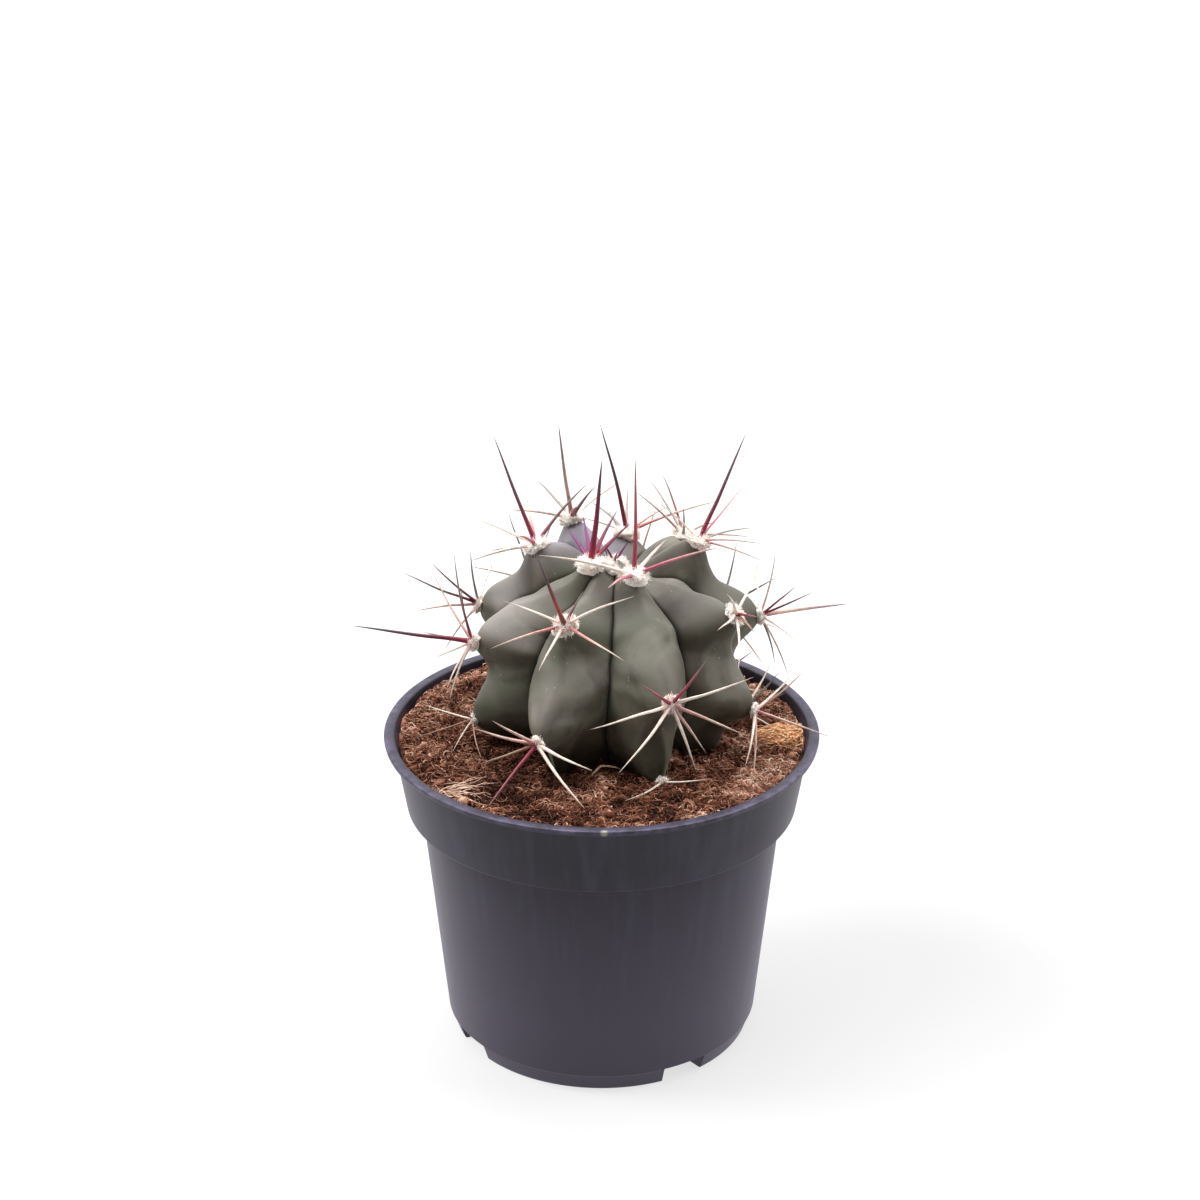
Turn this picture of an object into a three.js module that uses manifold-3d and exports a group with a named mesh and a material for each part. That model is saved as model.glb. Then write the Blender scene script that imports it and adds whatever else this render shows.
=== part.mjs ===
// Potted round cactus: a nine-ribbed globe, rooted in peat soil in a thin-walled nursery pot.
// Units are millimetres, +Z is up, and the origin is the middle of the pot's foot on the ground.
// Azimuths are in degrees, from the front (-Y) round towards the right (+X).

import * as THREE from 'three';
import { mergeVertices } from 'three/addons/utils/BufferGeometryUtils.js';
import Module from 'manifold-3d';

const wasm = await Module();
wasm.setup();

// ---- Driving dimensions ----

const seatGap = 0.3;        // clearance between one piece and the next
const roundSteps = 48;      // segments of a turned surface

const pot = {
  height: 90,
  lipRadius: 60,            // the rim is 120 across
  lipInner: 57,
  lipUnderside: 88.5,
  collarTop: 57.3,          // outer radius of the collar, just under the lip
  collarBottom: 54.1,
  collarStep: 69,           // height of the step below the collar
  wallTop: 50.2,            // outer radius of the wall at the step
  wallBottom: 43.9,         // outer radius of the wall just above the feet
  footTop: 5.3,             // height of the feet and of the notches between them
  footBottom: 41.9,
  footRounding: 0.7,
  wall: 0.95,
  floorTop: 4,              // raised middle of the floor, above a hollow of its own
  floorUnder: 3,
  floorRadius: 33,
  footPlate: 1,             // thickness of the flat plate under each foot
};

const feet = {
  count: 4,
  firstAzimuth: -12.8,      // middle of the front foot
  notchHalfAngle: 8.8,
  notchInner: 29,           // the channels between the feet start at this radius
  slotAzimuth: 28,          // thin drain slots in the side feet, from the foot's middle
  slotHalfAngle: 1.5,
  slotTop: 4.2,
  grooveAzimuth: 17,        // shallow grooves in the outside of each foot, from its middle
  grooveHalfAngle: 6,
  grooveDepth: 0.3,
  drainRadius: 3,
  channelDrainsAt: 36.5,
  middleDrain: 3.5,
  middleDrainsAt: 18,
};

const soil = {
  level: 85,
  lump: 0.8,                // height of its lumps
  rings: [0, 22, 33, 42, 50, 58],
  rootGap: 0.45,            // clearance round the plant
};

// A rib's crest as radius and height, from the growing point down to the root's tip.
const crestLine = [
  [0, 131.5], [3, 132.5], [9, 134], [17, 133.2], [24.2, 129.7], [30, 123.5], [33, 116],
  [33.8, 107], [33.2, 98], [31.5, 89], [27, 80.5], [18, 71], [8, 62], [0, 58],
];

const plant = {
  foot: [2.5, 5],           // middle of the plant at soil level
  crown: [3.9, 10],         // middle of its crown
  leanFrom: 95,             // the crown's offset and lean grow between these heights
  leanTo: 135,
  lean: 0.25,               // how much the crown rises towards the back
  furrow: 8.5,              // depth of a furrow of ordinary width at the waist
  footFurrow: 0.45,         // how much deeper the furrows are near the soil
  waist: 35,
  ribSpan: 40,              // angle from crest to crest that counts as ordinary
  noseYoung: 6.2,           // reach of the swelling under a young areole
  noseAbove: 9.5,           // reach of a grown one, towards the crown
  noseBelow: 4.8,           // and towards the root
  crownFlat: 10,            // inside this radius the skin swells straight up, not inwards
  columns: 8,               // mesh columns from crest to crest
  rows: 25,
};

// Each areole lies at a distance along its crest from the growing point. A spine is
// [clock, lift, length]: its clock angle from straight up the rib towards the right,
// its lift off the skin in degrees, and its length. A long one in the middle is a central.
const ribs = [
  {
    name: 'i', azimuth: -144.5, nose: 0.95, sink: 0.5,
    areoles: [
      {
        along: 19.5, central: [25, 60, 30],
        spines: [[200, 30, 21], [190, 30, 22], [100, 20, 18], [5, 25, 19], [25, 15, 15], [270, 20, 18]],
      },
      { along: 45, turned: 20 },
      { along: 68, turned: 35, low: true },
    ],
  },
  {
    name: 'a', azimuth: -105, sink: 0.5,
    areoles: [
      {
        along: 21, central: [255, 70, 31],
        spines: [[315, 20, 22], [255, 20, 24], [210, 25, 21], [135, 15, 19], [75, 25, 19], [165, 15, 12]],
      },
      {
        along: 41.5,
        spines: [[45, 30, 24], [60, 40, 28], [80, 25, 26], [15, 15, 18], [290, 5, 23], [180, 20, 18]],
      },
    ],
  },
  {
    name: 'b', azimuth: -76.5, bend: 31, nose: 1.15, sink: 1.5,
    areoles: [
      {
        along: 9, young: true, central: [120, 75, 32],
        spines: [[280, 15, 16], [295, 25, 18], [325, 25, 21], [340, 20, 19], [310, 50, 12]],
      },
      {
        along: 41, central: [245, 75, 32],
        spines: [
          [250, 25, 21], [335, 20, 24], [20, 25, 20], [300, 25, 23], [225, 20, 16], [115, 20, 22],
          [115, 25, 20],
        ],
      },
      { along: 63, spines: [[25, 25, 19], [265, 30, 22], [230, 70, 18], [100, 35, 14], [100, 5, 17]] },
    ],
  },
  {
    name: 'c', azimuth: -29, nose: 1.2, sink: 1.5,
    areoles: [
      { along: 1, young: true, spines: [[145, 40, 9], [200, 60, 8], [60, 60, 8]] },
      {
        along: 25.5, central: [45, 85, 32],
        spines: [[270, 20, 17], [65, 20, 22], [20, 25, 10], [225, 15, 20], [175, 15, 17], [110, 10, 24]],
      },
      {
        along: 57,
        spines: [[280, 15, 17], [315, 30, 14], [245, 20, 17], [205, 55, 22], [95, 10, 18], [115, 25, 23]],
      },
    ],
  },
  {
    name: 'd', azimuth: 23, nose: 0.85, sink: -1,
    areoles: [
      {
        along: 12.5, central: [20, 65, 30],
        spines: [[285, 15, 26], [60, 20, 15], [110, 20, 23], [225, 15, 20]],
      },
      {
        along: 44.5,
        spines: [
          [30, 25, 16], [70, 25, 22], [120, 10, 22], [150, 10, 16], [165, 10, 19], [240, 25, 25],
          [270, 15, 26], [310, 25, 15],
        ],
      },
      { along: 70, spines: [[65, 27, 13.5], [287, 26, 16.5]] },
    ],
  },
  {
    name: 'e', azimuth: 68.5, nose: 1.45, sink: 3,
    areoles: [
      {
        along: 31,
        spines: [[70, 20, 19], [245, 5, 22], [255, 45, 14], [275, 10, 19], [240, 30, 13], [295, 30, 21]],
      },
      { along: 57, spines: [[75, 20, 20], [65, 20, 16], [150, 80, 21], [235, 10, 17], [225, 15, 21]] },
    ],
  },
  {
    name: 'f', azimuth: 103, nose: 1.4, sink: 2,
    areoles: [
      {
        along: 20.5, central: [110, 70, 31],
        spines: [[125, 30, 27], [150, 15, 21], [235, 25, 20], [220, 10, 19], [115, 25, 19], [20, 20, 15]],
      },
      {
        along: 43.5, central: [130, 65, 30],
        spines: [
          [305, 35, 21], [355, 20, 19], [315, 25, 19], [265, 15, 18], [175, 15, 22], [160, 10, 21],
          [60, 10, 19],
        ],
      },
      { along: 68, turned: 15, low: true },
    ],
  },
  {
    name: 'g', azimuth: 130, sink: 4,
    areoles: [
      {
        along: 22.5,
        spines: [[105, 30, 26], [85, 30, 21], [325, 20, 22], [20, 20, 19], [160, 20, 18], [215, 20, 18]],
      },
      { along: 48, turned: 5 },
      { along: 66, turned: 25, low: true },
    ],
  },
  {
    name: 'h', azimuth: 170, nose: 0.95, sink: 6.5,
    areoles: [
      {
        along: 17.5, central: [45, 70, 31],
        spines: [[170, 30, 21], [245, 20, 26], [135, 20, 19], [105, 12, 13], [210, 20, 18]],
      },
      { along: 43, turned: 30 },
      { along: 66, turned: 0, low: true },
    ],
  },
];

const spray = {
  count: 7,                 // spines of an areole that has no list of its own
  lowCount: 5,              // the same for one near the soil, which keeps to the upper side
  lowSpread: 44,            // angle between those
  lift: 20,
  lowLift: 28,
  length: 19,
  lowLength: 16,
};

const spine = {
  radialRadius: 0.5,        // half the thickness at the root
  centralRadius: 0.72,
  youngCentralRadius: 0.95,
  tipReach: 1.04,           // the lists give lengths up to where a tip fades from view
  bow: 0.035,               // outward bow, as a share of the length
  sides: 3,
  rootRise: 0.4,            // the root's height above the skin, inside the wool
};

const wool = {
  youngRadius: 3.8,         // half the width of the pad of wool, at the crown
  oldRadius: 1.6,           // and near the soil
  youngUntil: 8,            // the radius falls between these distances along the crest
  oldFrom: 52,
  flatness: 0.55,
};

// ---- Small helpers ----

const radians = THREE.MathUtils.degToRad;

// A point at an azimuth and a radius round the Z axis.
function polar(azimuth, radius, z = 0) {
  const angle = radians(azimuth);
  return new THREE.Vector3(radius * Math.sin(angle), -radius * Math.cos(angle), z);
}

// A closed mesh as a solid: shared corners are merged, slivers dropped, and its faces turned outwards.
function toSolid(geometry) {
  const bare = geometry.clone();
  bare.deleteAttribute('normal');
  bare.deleteAttribute('uv');
  const merged = mergeVertices(bare, 1e-4);
  const vertProperties = new Float32Array(merged.attributes.position.array);
  const corner = (i) => new THREE.Vector3().fromArray(vertProperties, 3 * i);
  const source = merged.index.array;
  const kept = [];
  let volume = 0;
  for (let i = 0; i < source.length; i += 3) {
    const [a, b, c] = source.slice(i, i + 3);
    if (a !== b && b !== c && c !== a) {
      kept.push(a, b, c);
      volume += corner(a).dot(corner(b).cross(corner(c)));
    }
  }
  const triVerts = new Uint32Array(volume < 0 ? kept.reverse() : kept);
  return new wasm.Manifold(new wasm.Mesh({ numProp: 3, vertProperties, triVerts }));
}

function toGeometry(solid) {
  const mesh = solid.getMesh();
  const geometry = new THREE.BufferGeometry();
  geometry.setAttribute('position', new THREE.BufferAttribute(new Float32Array(mesh.vertProperties), 3));
  geometry.setIndex(new THREE.BufferAttribute(new Uint32Array(mesh.triVerts), 1));
  return geometry;
}

// A profile of [radius, height] corners turned round the Z axis.
function turned(profile, steps = roundSteps) {
  const points = profile.map(([radius, height]) => new THREE.Vector2(radius, height));
  return new THREE.LatheGeometry(points, steps).rotateX(Math.PI / 2);
}

// A block that fills an angle about an azimuth, between two radii and two heights.
function sector(azimuth, halfAngle, inner, outer, bottom, top) {
  const shape = new THREE.Shape();
  const from = radians(azimuth - 90 - halfAngle);
  const to = radians(azimuth - 90 + halfAngle);
  shape.absarc(0, 0, outer, from, to, false);
  shape.absarc(0, 0, inner, to, from, true);
  const block = new THREE.ExtrudeGeometry(shape, {
    depth: top - bottom, bevelEnabled: false, curveSegments: 2,
  });
  return toSolid(block.translate(0, 0, bottom));
}

function drain(azimuth, at, radius) {
  const hole = new THREE.CylinderGeometry(radius, radius, 10, 12).rotateX(Math.PI / 2);
  const { x, y } = polar(azimuth, at);
  return toSolid(hole.translate(x, y, 4));
}

const footAzimuths = Array.from({ length: feet.count }, (_, i) => feet.firstAzimuth + (i * 360) / feet.count);
const notchAzimuths = footAzimuths.map((azimuth) => azimuth + 180 / feet.count);

// ---- Pot ----

// The space inside the pot, drawn in from its surface by a gap, so that it also shapes the soil.
function cavity(gap) {
  const wallInner = (outer) => outer - pot.wall - gap;
  const pocket = pot.floorRadius + 1 + gap;
  const shelf = pot.collarStep + pot.wall + gap;
  const inside = toSolid(turned([
    [0, pot.floorTop + gap],
    [pocket, pot.floorTop + gap],
    [pocket, pot.footPlate + gap],
    [wallInner(pot.footBottom + 0.3), pot.footPlate + gap],
    [wallInner(pot.wallBottom), pot.footTop],
    [wallInner(pot.wallTop), pot.collarStep],
    [wallInner(pot.wallTop), shelf],
    [wallInner(pot.collarBottom), shelf],
    [wallInner(pot.collarTop), pot.lipUnderside - 1],
    [pot.lipInner - gap, pot.height + 1],
    [0, pot.height + 1],
  ]));
  const sideGap = THREE.MathUtils.radToDeg(gap / pot.footBottom) + 1.5;
  return notchAzimuths.reduce((space, azimuth) => space.subtract(sector(
    azimuth, feet.notchHalfAngle + sideGap, feet.notchInner - 1 - gap, 50, -1, pot.footTop + 1 + gap,
  )), inside);
}

function potSolid() {
  let solid = toSolid(turned([
    [0, 0],
    [pot.footBottom - pot.footRounding, 0],
    [pot.footBottom, pot.footRounding],
    [pot.wallBottom - 0.4, pot.footTop - 0.3],
    [pot.wallBottom, pot.footTop],
    [pot.wallTop, pot.collarStep - 0.4],
    [pot.collarBottom - 0.6, pot.collarStep],
    [pot.collarBottom, pot.collarStep + 0.6],
    [pot.collarTop, pot.lipUnderside - 0.6],
    [pot.lipRadius - 0.5, pot.lipUnderside],
    [pot.lipRadius, pot.lipUnderside + 0.6],
    [pot.lipRadius - 0.5, pot.height],
    [0, pot.height],
  ]));
  solid = solid.subtract(cavity(0));
  solid = solid.subtract(toSolid(turned([
    [0, -1], [pot.floorRadius, -1], [pot.floorRadius, pot.floorUnder], [0, pot.floorUnder],
  ])));
  for (const azimuth of notchAzimuths) {
    solid = solid.subtract(sector(azimuth, feet.notchHalfAngle, feet.notchInner, 50, -1, pot.footTop));
    solid = solid.subtract(drain(azimuth, feet.channelDrainsAt, feet.drainRadius));
    solid = solid.subtract(drain(azimuth + 45, feet.middleDrainsAt, feet.drainRadius));
  }
  solid = solid.subtract(drain(0, 0, feet.middleDrain));
  for (const azimuth of footAzimuths) {
    for (const side of [-1, 1]) {
      solid = solid.subtract(sector(
        azimuth + side * feet.grooveAzimuth, feet.grooveHalfAngle,
        pot.wallBottom - 0.6 - feet.grooveDepth, 50, 0.8, pot.footTop - 0.6,
      ));
    }
  }
  for (const azimuth of [footAzimuths[1], footAzimuths[3]]) {
    for (const side of [-1, 1]) {
      solid = solid.subtract(sector(
        azimuth + side * feet.slotAzimuth, feet.slotHalfAngle, 38, 50, -1, feet.slotTop,
      ));
    }
  }
  return solid;
}

// ---- Cactus body ----

const crest = new THREE.SplineCurve(crestLine.map(([radius, z]) => new THREE.Vector2(radius, z)));
crest.arcLengthDivisions = 600;
const crestLength = crest.getLength();

const mix = THREE.MathUtils.lerp;
const smooth = THREE.MathUtils.smoothstep;

// The swelling under an areole, from its distance along the crest: [distance, height].
const noseSizes = [[0, 2.4], [20, 5], [40, 5.6], [55, 5.6], [70, 4]];

function noseHeight({ nose = 1 }, along) {
  const next = Math.max(1, noseSizes.findIndex(([distance]) => distance >= along));
  const [[from, low], [to, high]] = [noseSizes[next - 1], noseSizes[next]];
  return nose * mix(low, high, (along - from) / (to - from));
}

// A crest's azimuth, which may bend towards its neighbour close to the growing point.
function crestAzimuth(index, along) {
  const rib = ribs[index % ribs.length];
  const turns = Math.floor(index / ribs.length) * 360;
  return rib.azimuth + (rib.bend ?? 0) * Math.max(0, 1 - along / 30) + turns;
}

// The skin's smooth frame: position counts ribs (2.5 is the furrow after the third crest),
// and along is the distance from the growing point.
function ribFrame(position, along) {
  const wrapped = ((position % ribs.length) + ribs.length) % ribs.length;
  const index = Math.floor(wrapped);
  const share = wrapped - index;
  const left = crestAzimuth(index, along);
  const right = crestAzimuth(index + 1, along);
  const next = ribs[(index + 1) % ribs.length];
  const easing = smooth(share, 0, 1);
  const place = THREE.MathUtils.clamp(along / crestLength, 0, 1);
  const point = crest.getPointAt(place);
  const tangent = crest.getTangentAt(THREE.MathUtils.clamp(place, 0.004, 0.996));
  return {
    azimuth: mix(left, right, share),
    span: right - left,
    furrowShare: Math.min(share, 1 - share) * 2,
    radius: point.x,
    z: point.y,
    sink: mix(ribs[index].sink ?? 0, next.sink ?? 0, easing),
    normal: new THREE.Vector2(-tangent.y * Math.min(1, point.x / plant.crownFlat), tangent.x),
  };
}

// Puts a radius, height and azimuth round the plant's own middle, with the crown's lean.
function place(azimuth, radius, z, sink) {
  const share = smooth(z, plant.leanFrom, plant.leanTo);
  const point = polar(azimuth, radius, z);
  const rise = (plant.lean * point.y - sink) * share;
  point.x += mix(plant.foot[0], plant.crown[0], share);
  point.y += mix(plant.foot[1], plant.crown[1], share);
  point.z += rise;
  return point;
}

const noses = [];

// A point of the skin: the crest line, less the furrow, plus the noses under the areoles. A crest
// is rounder near the crown and sharper near the soil, and a nose falls off faster below its areole.
function skinPoint(position, along, grow = 0) {
  const frame = ribFrame(position, along);
  const bare = place(frame.azimuth, frame.radius, frame.z, frame.sink);
  const share = frame.furrowShare;
  const section = mix(
    0.85 * share ** 1.5 + 0.15 * share ** 12, 1 - (1 - share) ** 1.6, 0.7 * smooth(along, 45, 75),
  );
  const depth = plant.furrow * (frame.radius / plant.waist) ** 0.8 * Math.sqrt(frame.span / plant.ribSpan)
    * (1 + plant.footFurrow * smooth(along, 50, 85));
  let out = grow - depth * section;
  for (const nose of noses) {
    const reach = mix(...nose.reach, smooth(along - nose.along, -5, 5));
    out += nose.height * Math.exp(-bare.distanceToSquared(nose.at) / reach ** 2);
  }
  return place(
    frame.azimuth, frame.radius + frame.normal.x * out, frame.z + frame.normal.y * out, frame.sink,
  );
}

function plantSolid(grow) {
  const globe = new THREE.SphereGeometry(1, plant.columns * ribs.length, plant.rows).rotateX(Math.PI / 2);
  const corners = globe.attributes.position;
  for (let i = 0; i < corners.count; i += 1) {
    const corner = new THREE.Vector3().fromBufferAttribute(corners, i);
    const turn = Math.atan2(corner.x, -corner.y) / (2 * Math.PI);
    const atPole = Math.hypot(corner.x, corner.y) < 1e-6;
    const along = (Math.acos(THREE.MathUtils.clamp(corner.z, -1, 1)) / Math.PI) * crestLength;
    const position = atPole ? 0 : Math.round((turn + 1) * ribs.length * plant.columns) / plant.columns;
    corners.setXYZ(i, ...skinPoint(position, along, grow));
  }
  return toSolid(globe);
}

// ---- Areoles: a pad of wool with its spray of spines ----

// The direction of a spine from its areole's frame.
function spineDirection({ up, right, normal }, clock, lift) {
  const flat = Math.cos(radians(lift));
  return new THREE.Vector3()
    .addScaledVector(up, flat * Math.cos(radians(clock)))
    .addScaledVector(right, flat * Math.sin(radians(clock)))
    .addScaledVector(normal, Math.sin(radians(lift)));
}

// A thin cone from the root along a direction, bowed outwards by a parabola.
function spineSolid(frame, [clock, lift, seenLength], radius) {
  const direction = spineDirection(frame, clock, lift);
  const length = seenLength * spine.tipReach;
  const cone = new THREE.ConeGeometry(radius, length, spine.sides, 3).translate(0, length / 2, 0);
  const corners = cone.attributes.position;
  for (let i = 0; i < corners.count; i += 1) {
    const share = corners.getY(i) / length;
    corners.setX(i, corners.getX(i) + spine.bow * length * 4 * share * (1 - share) * Math.cos(radians(lift)));
  }
  const side = new THREE.Vector3().crossVectors(frame.normal, direction);
  if (side.length() < 1e-6) side.copy(frame.right);
  side.normalize();
  const outward = new THREE.Vector3().crossVectors(direction, side);
  const root = frame.origin.clone().addScaledVector(frame.normal, spine.rootRise);
  const pose = new THREE.Matrix4().makeBasis(outward, direction, side.negate()).setPosition(root);
  return toSolid(cone.applyMatrix4(pose));
}

function woolSolid(frame, radius) {
  const pad = new THREE.SphereGeometry(radius, 8, 5);
  pad.applyMatrix4(new THREE.Matrix4().makeScale(1, wool.flatness, 1));
  const pose = new THREE.Matrix4().makeBasis(frame.up, frame.normal, frame.right.clone().negate());
  return toSolid(pad.applyMatrix4(pose.setPosition(frame.origin)));
}

// A spread of spines from a seeded draw, for the areoles that the list above leaves plain.
function sprayOf(areole, seed) {
  const draw = (i) => {
    const value = Math.sin(seed * 12.9898 + i * 78.233) * 43758.5453;
    return value - Math.floor(value);
  };
  const count = areole.low ? spray.lowCount : spray.count;
  return Array.from({ length: count }, (_, i) => {
    const clock = areole.low
      ? (i - (count - 1) / 2) * spray.lowSpread
      : areole.turned + (i * 360) / count;
    return [
      clock + (draw(i) - 0.5) * 14,
      (areole.low ? spray.lowLift : spray.lift) + (draw(i + 20) - 0.5) * 8,
      (areole.low ? spray.lowLength : spray.length) + (draw(i + 40) - 0.5) * 4,
    ];
  });
}

function areoleFrame(index, along) {
  const { azimuth, normal: flat } = ribFrame(index, along);
  const outward = polar(azimuth, 1);
  const up = outward.clone().multiplyScalar(-flat.y).setZ(flat.x);
  const normal = outward.clone().multiplyScalar(flat.x).setZ(flat.y);
  return { origin: skinPoint(index, along), up, normal, right: new THREE.Vector3().crossVectors(up, normal) };
}

const areoles = ribs.flatMap((rib, index) => rib.areoles.map((areole, order) => ({
  ...areole, index, name: `areole_${rib.name}${order + 1}`, seed: index * 3 + order + 1,
})));

for (const { index, along } of areoles) {
  const { azimuth, radius, z, sink } = ribFrame(index, along);
  const grown = Math.min(along / 30, 1);
  noses.push({
    along,
    at: place(azimuth, radius, z, sink),
    height: noseHeight(ribs[index], along),
    reach: [plant.noseAbove, plant.noseBelow].map((reach) => mix(plant.noseYoung, reach, grown)),
  });
}

function areoleSolid(areole, clearance) {
  const frame = areoleFrame(areole.index, areole.along);
  const { youngRadius, oldRadius, youngUntil, oldFrom } = wool;
  const age = THREE.MathUtils.clamp((areole.along - youngUntil) / (oldFrom - youngUntil), 0, 1);
  const radius = mix(youngRadius, oldRadius, age);
  const parts = [woolSolid(frame, radius)];
  for (const radial of areole.spines ?? sprayOf(areole, areole.seed)) {
    parts.push(spineSolid(frame, radial, spine.radialRadius));
  }
  if (areole.central) {
    parts.push(spineSolid(frame, areole.central, areole.young ? spine.youngCentralRadius : spine.centralRadius));
  }
  const joined = wasm.Manifold.union(parts).subtract(clearance);
  return joined.decompose().sort((a, b) => b.volume() - a.volume())[0];
}

// ---- Soil ----

// The lumpy top: waves of three sizes over the level, calmer at the pot's wall.
function soilHeight(x, y) {
  const wave = Math.sin(x * 0.21 + 1.3) * Math.cos(y * 0.19 - 0.4)
    + 0.5 * Math.sin(x * 0.47 + y * 0.38)
    + 0.3 * Math.cos(x * 0.83 - y * 0.71 + 2);
  return soil.level + (soil.lump * wave) / 1.8;
}

function soilSolid() {
  const top = turned([[0, -2], [58, -2], ...[...soil.rings].reverse().map((radius) => [radius, soil.level])], 40);
  const corners = top.attributes.position;
  for (let i = 0; i < corners.count; i += 1) {
    if (corners.getZ(i) > 0) corners.setZ(i, soilHeight(corners.getX(i), corners.getY(i)));
  }
  return cavity(seatGap).intersect(toSolid(top)).subtract(plantSolid(soil.rootGap));
}

// ---- The assembly ----

const finishes = {
  pot: { color: '#3c3d47', roughness: 0.5 },
  soil: { color: '#5a3726', roughness: 1 },
  body: { color: '#62705f', roughness: 0.75 },
  areole: { color: '#cda596', roughness: 0.8 },
};

function node(name, solid, finish) {
  const material = new THREE.MeshStandardMaterial({ ...finishes[finish], metalness: 0 });
  const mesh = new THREE.Mesh(toGeometry(solid), material);
  mesh.name = name;
  return mesh;
}

const pottedCactus = new THREE.Group();
pottedCactus.add(node('pot', potSolid(), 'pot'));
pottedCactus.add(node('soil', soilSolid(), 'soil'));
pottedCactus.add(node('cactus_body', plantSolid(0), 'body'));
const clearance = plantSolid(seatGap + 0.15);
for (const areole of areoles) {
  pottedCactus.add(node(areole.name, areoleSolid(areole, clearance), 'areole'));
}

export default pottedCactus;
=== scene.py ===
# A ribbed cactus in a nursery pot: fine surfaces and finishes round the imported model.
# Sizes are in millimetres, and makePiece turns them to metres.
import itertools
import math

import bmesh
import bpy
import numpy as np
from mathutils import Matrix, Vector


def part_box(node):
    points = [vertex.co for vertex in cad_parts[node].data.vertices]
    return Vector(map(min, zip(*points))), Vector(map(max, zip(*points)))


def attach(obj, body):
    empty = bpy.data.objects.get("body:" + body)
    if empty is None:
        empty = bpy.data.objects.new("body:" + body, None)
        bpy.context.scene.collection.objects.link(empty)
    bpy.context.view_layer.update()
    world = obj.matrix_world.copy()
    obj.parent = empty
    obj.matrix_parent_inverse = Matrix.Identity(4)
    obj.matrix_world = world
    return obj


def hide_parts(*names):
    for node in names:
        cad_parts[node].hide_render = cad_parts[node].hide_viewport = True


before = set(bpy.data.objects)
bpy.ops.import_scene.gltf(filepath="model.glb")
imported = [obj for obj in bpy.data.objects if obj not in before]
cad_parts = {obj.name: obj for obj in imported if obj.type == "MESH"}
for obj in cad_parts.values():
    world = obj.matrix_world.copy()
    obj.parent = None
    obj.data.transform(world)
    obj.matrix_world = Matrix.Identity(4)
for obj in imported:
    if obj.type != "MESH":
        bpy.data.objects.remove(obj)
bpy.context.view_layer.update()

millimetre = 0.001
fullTurn = 2 * math.pi
print("frame loaded:", len(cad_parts), "nodes")


# An sRGB hex colour as linear RGBA.
def linear(hexColour):
    parts = [int(hexColour[i:i + 2], 16) / 255 for i in (1, 3, 5)]
    return [((c + 0.055) / 1.055) ** 2.4 if c > 0.04045 else c / 12.92 for c in parts] + [1.0]


# Linear colours at shares of the way along a row of colours, which stand at the given places.
def colourAt(share, places, hexColours):
    stops = np.array([linear(c) for c in hexColours])
    return np.stack([np.interp(share, places, channel) for channel in stops.T], -1)


# Sets a node's inputs: each is a value, another node's output, or a node, whose first output it takes.
def setInputs(tree, node, inputs):
    for name, value in dict(inputs).items():
        if isinstance(value, bpy.types.Node):
            value = value.outputs[0]
        if isinstance(value, bpy.types.NodeSocket):
            tree.links.new(value, node.inputs[name])
        else:
            node.inputs[name].default_value = value


# Adds a node with its inputs and properties. A ramp's stops are places with colours.
def addNode(tree, kind, inputs=(), stops=(), **properties):
    node = tree.nodes.new("ShaderNode" + kind)
    for name, value in properties.items():
        setattr(node, name, value)
    setInputs(tree, node, inputs)
    for i, (place, colour) in enumerate(stops):
        elements = node.color_ramp.elements
        element = elements[i] if i < len(elements) else elements.new(place)
        element.position = place
        element.color = linear(colour)
    return node


# A new material, its node tree and its shader, with the shader's constant inputs set. In every
# material, a pattern's scale is 1000 divided by the size in millimetres of what it draws.
def newMaterial(name, settings):
    material = bpy.data.materials.new(name)
    material.use_nodes = True
    tree = material.node_tree
    shader = tree.nodes["Principled BSDF"]
    setInputs(tree, shader, settings)
    return material, tree, shader


# Lays colours over a ground. A layer is a value, the two levels between which the layer comes in,
# its largest share, and its colour.
def layered(tree, ground, layers, blend="MIX"):
    for value, start, end, most, colour in layers:
        share = addNode(tree, "MapRange", {
            "Value": value, "From Min": start, "From Max": end, "To Max": most,
        })
        ground = addNode(tree, "MixRGB", {
            "Fac": share, "Color1": ground, "Color2": linear(colour),
        }, blend_type=blend)
    return ground


# A material with its piece's own tints, over which a fine grain lays one darker layer.
def tintedMaterial(name, settings, scale, detail, layer):
    material, tree, shader = newMaterial(name, settings)
    tint = addNode(tree, "Attribute", attribute_name="tint").outputs["Color"]
    place = addNode(tree, "TexCoord").outputs["Object"]
    grain = addNode(tree, "TexNoise", {"Vector": place, "Scale": scale, "Detail": detail})
    setInputs(tree, shader, {"Base Color": layered(tree, tint, [(grain, *layer)], "MULTIPLY")})
    return material, tree, shader, grain


def smoothstep(value, low, high):
    share = np.clip((value - low) / (high - low), 0, 1)
    return share * share * (3 - 2 * share)


def mix(low, high, share):
    return low + (high - low) * share


def unit(vectors):
    return vectors / np.maximum(np.linalg.norm(vectors, axis=-1, keepdims=True), 1e-9)


# Directions in the plane, at angles in radians from its first axis.
def onCircle(angle):
    return np.stack([np.cos(angle), np.sin(angle)], -1)


# The fraction of a large sine, which looks random.
noiseHash = {"axes": np.array([127.1, 311.7, 74.7]), "seed": 53.3, "size": 43758.5453}


# Value noise: random heights on a lattice of unit cells, blended by smoothstep, from -1 to 1.
def valueNoise(points, seed):
    cell = np.floor(points)
    share = smoothstep(points - cell, 0, 1)
    total = np.zeros(points.shape[:-1])
    for corner in itertools.product((0, 1), repeat=3):
        mixed = np.sin((cell + corner) @ noiseHash["axes"] + seed * noiseHash["seed"]) * noiseHash["size"]
        weight = np.prod(np.where(np.array(corner) == 1, share, 1 - share), axis=-1)
        total += weight * ((mixed - np.floor(mixed)) * 2 - 1)
    return total


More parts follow.
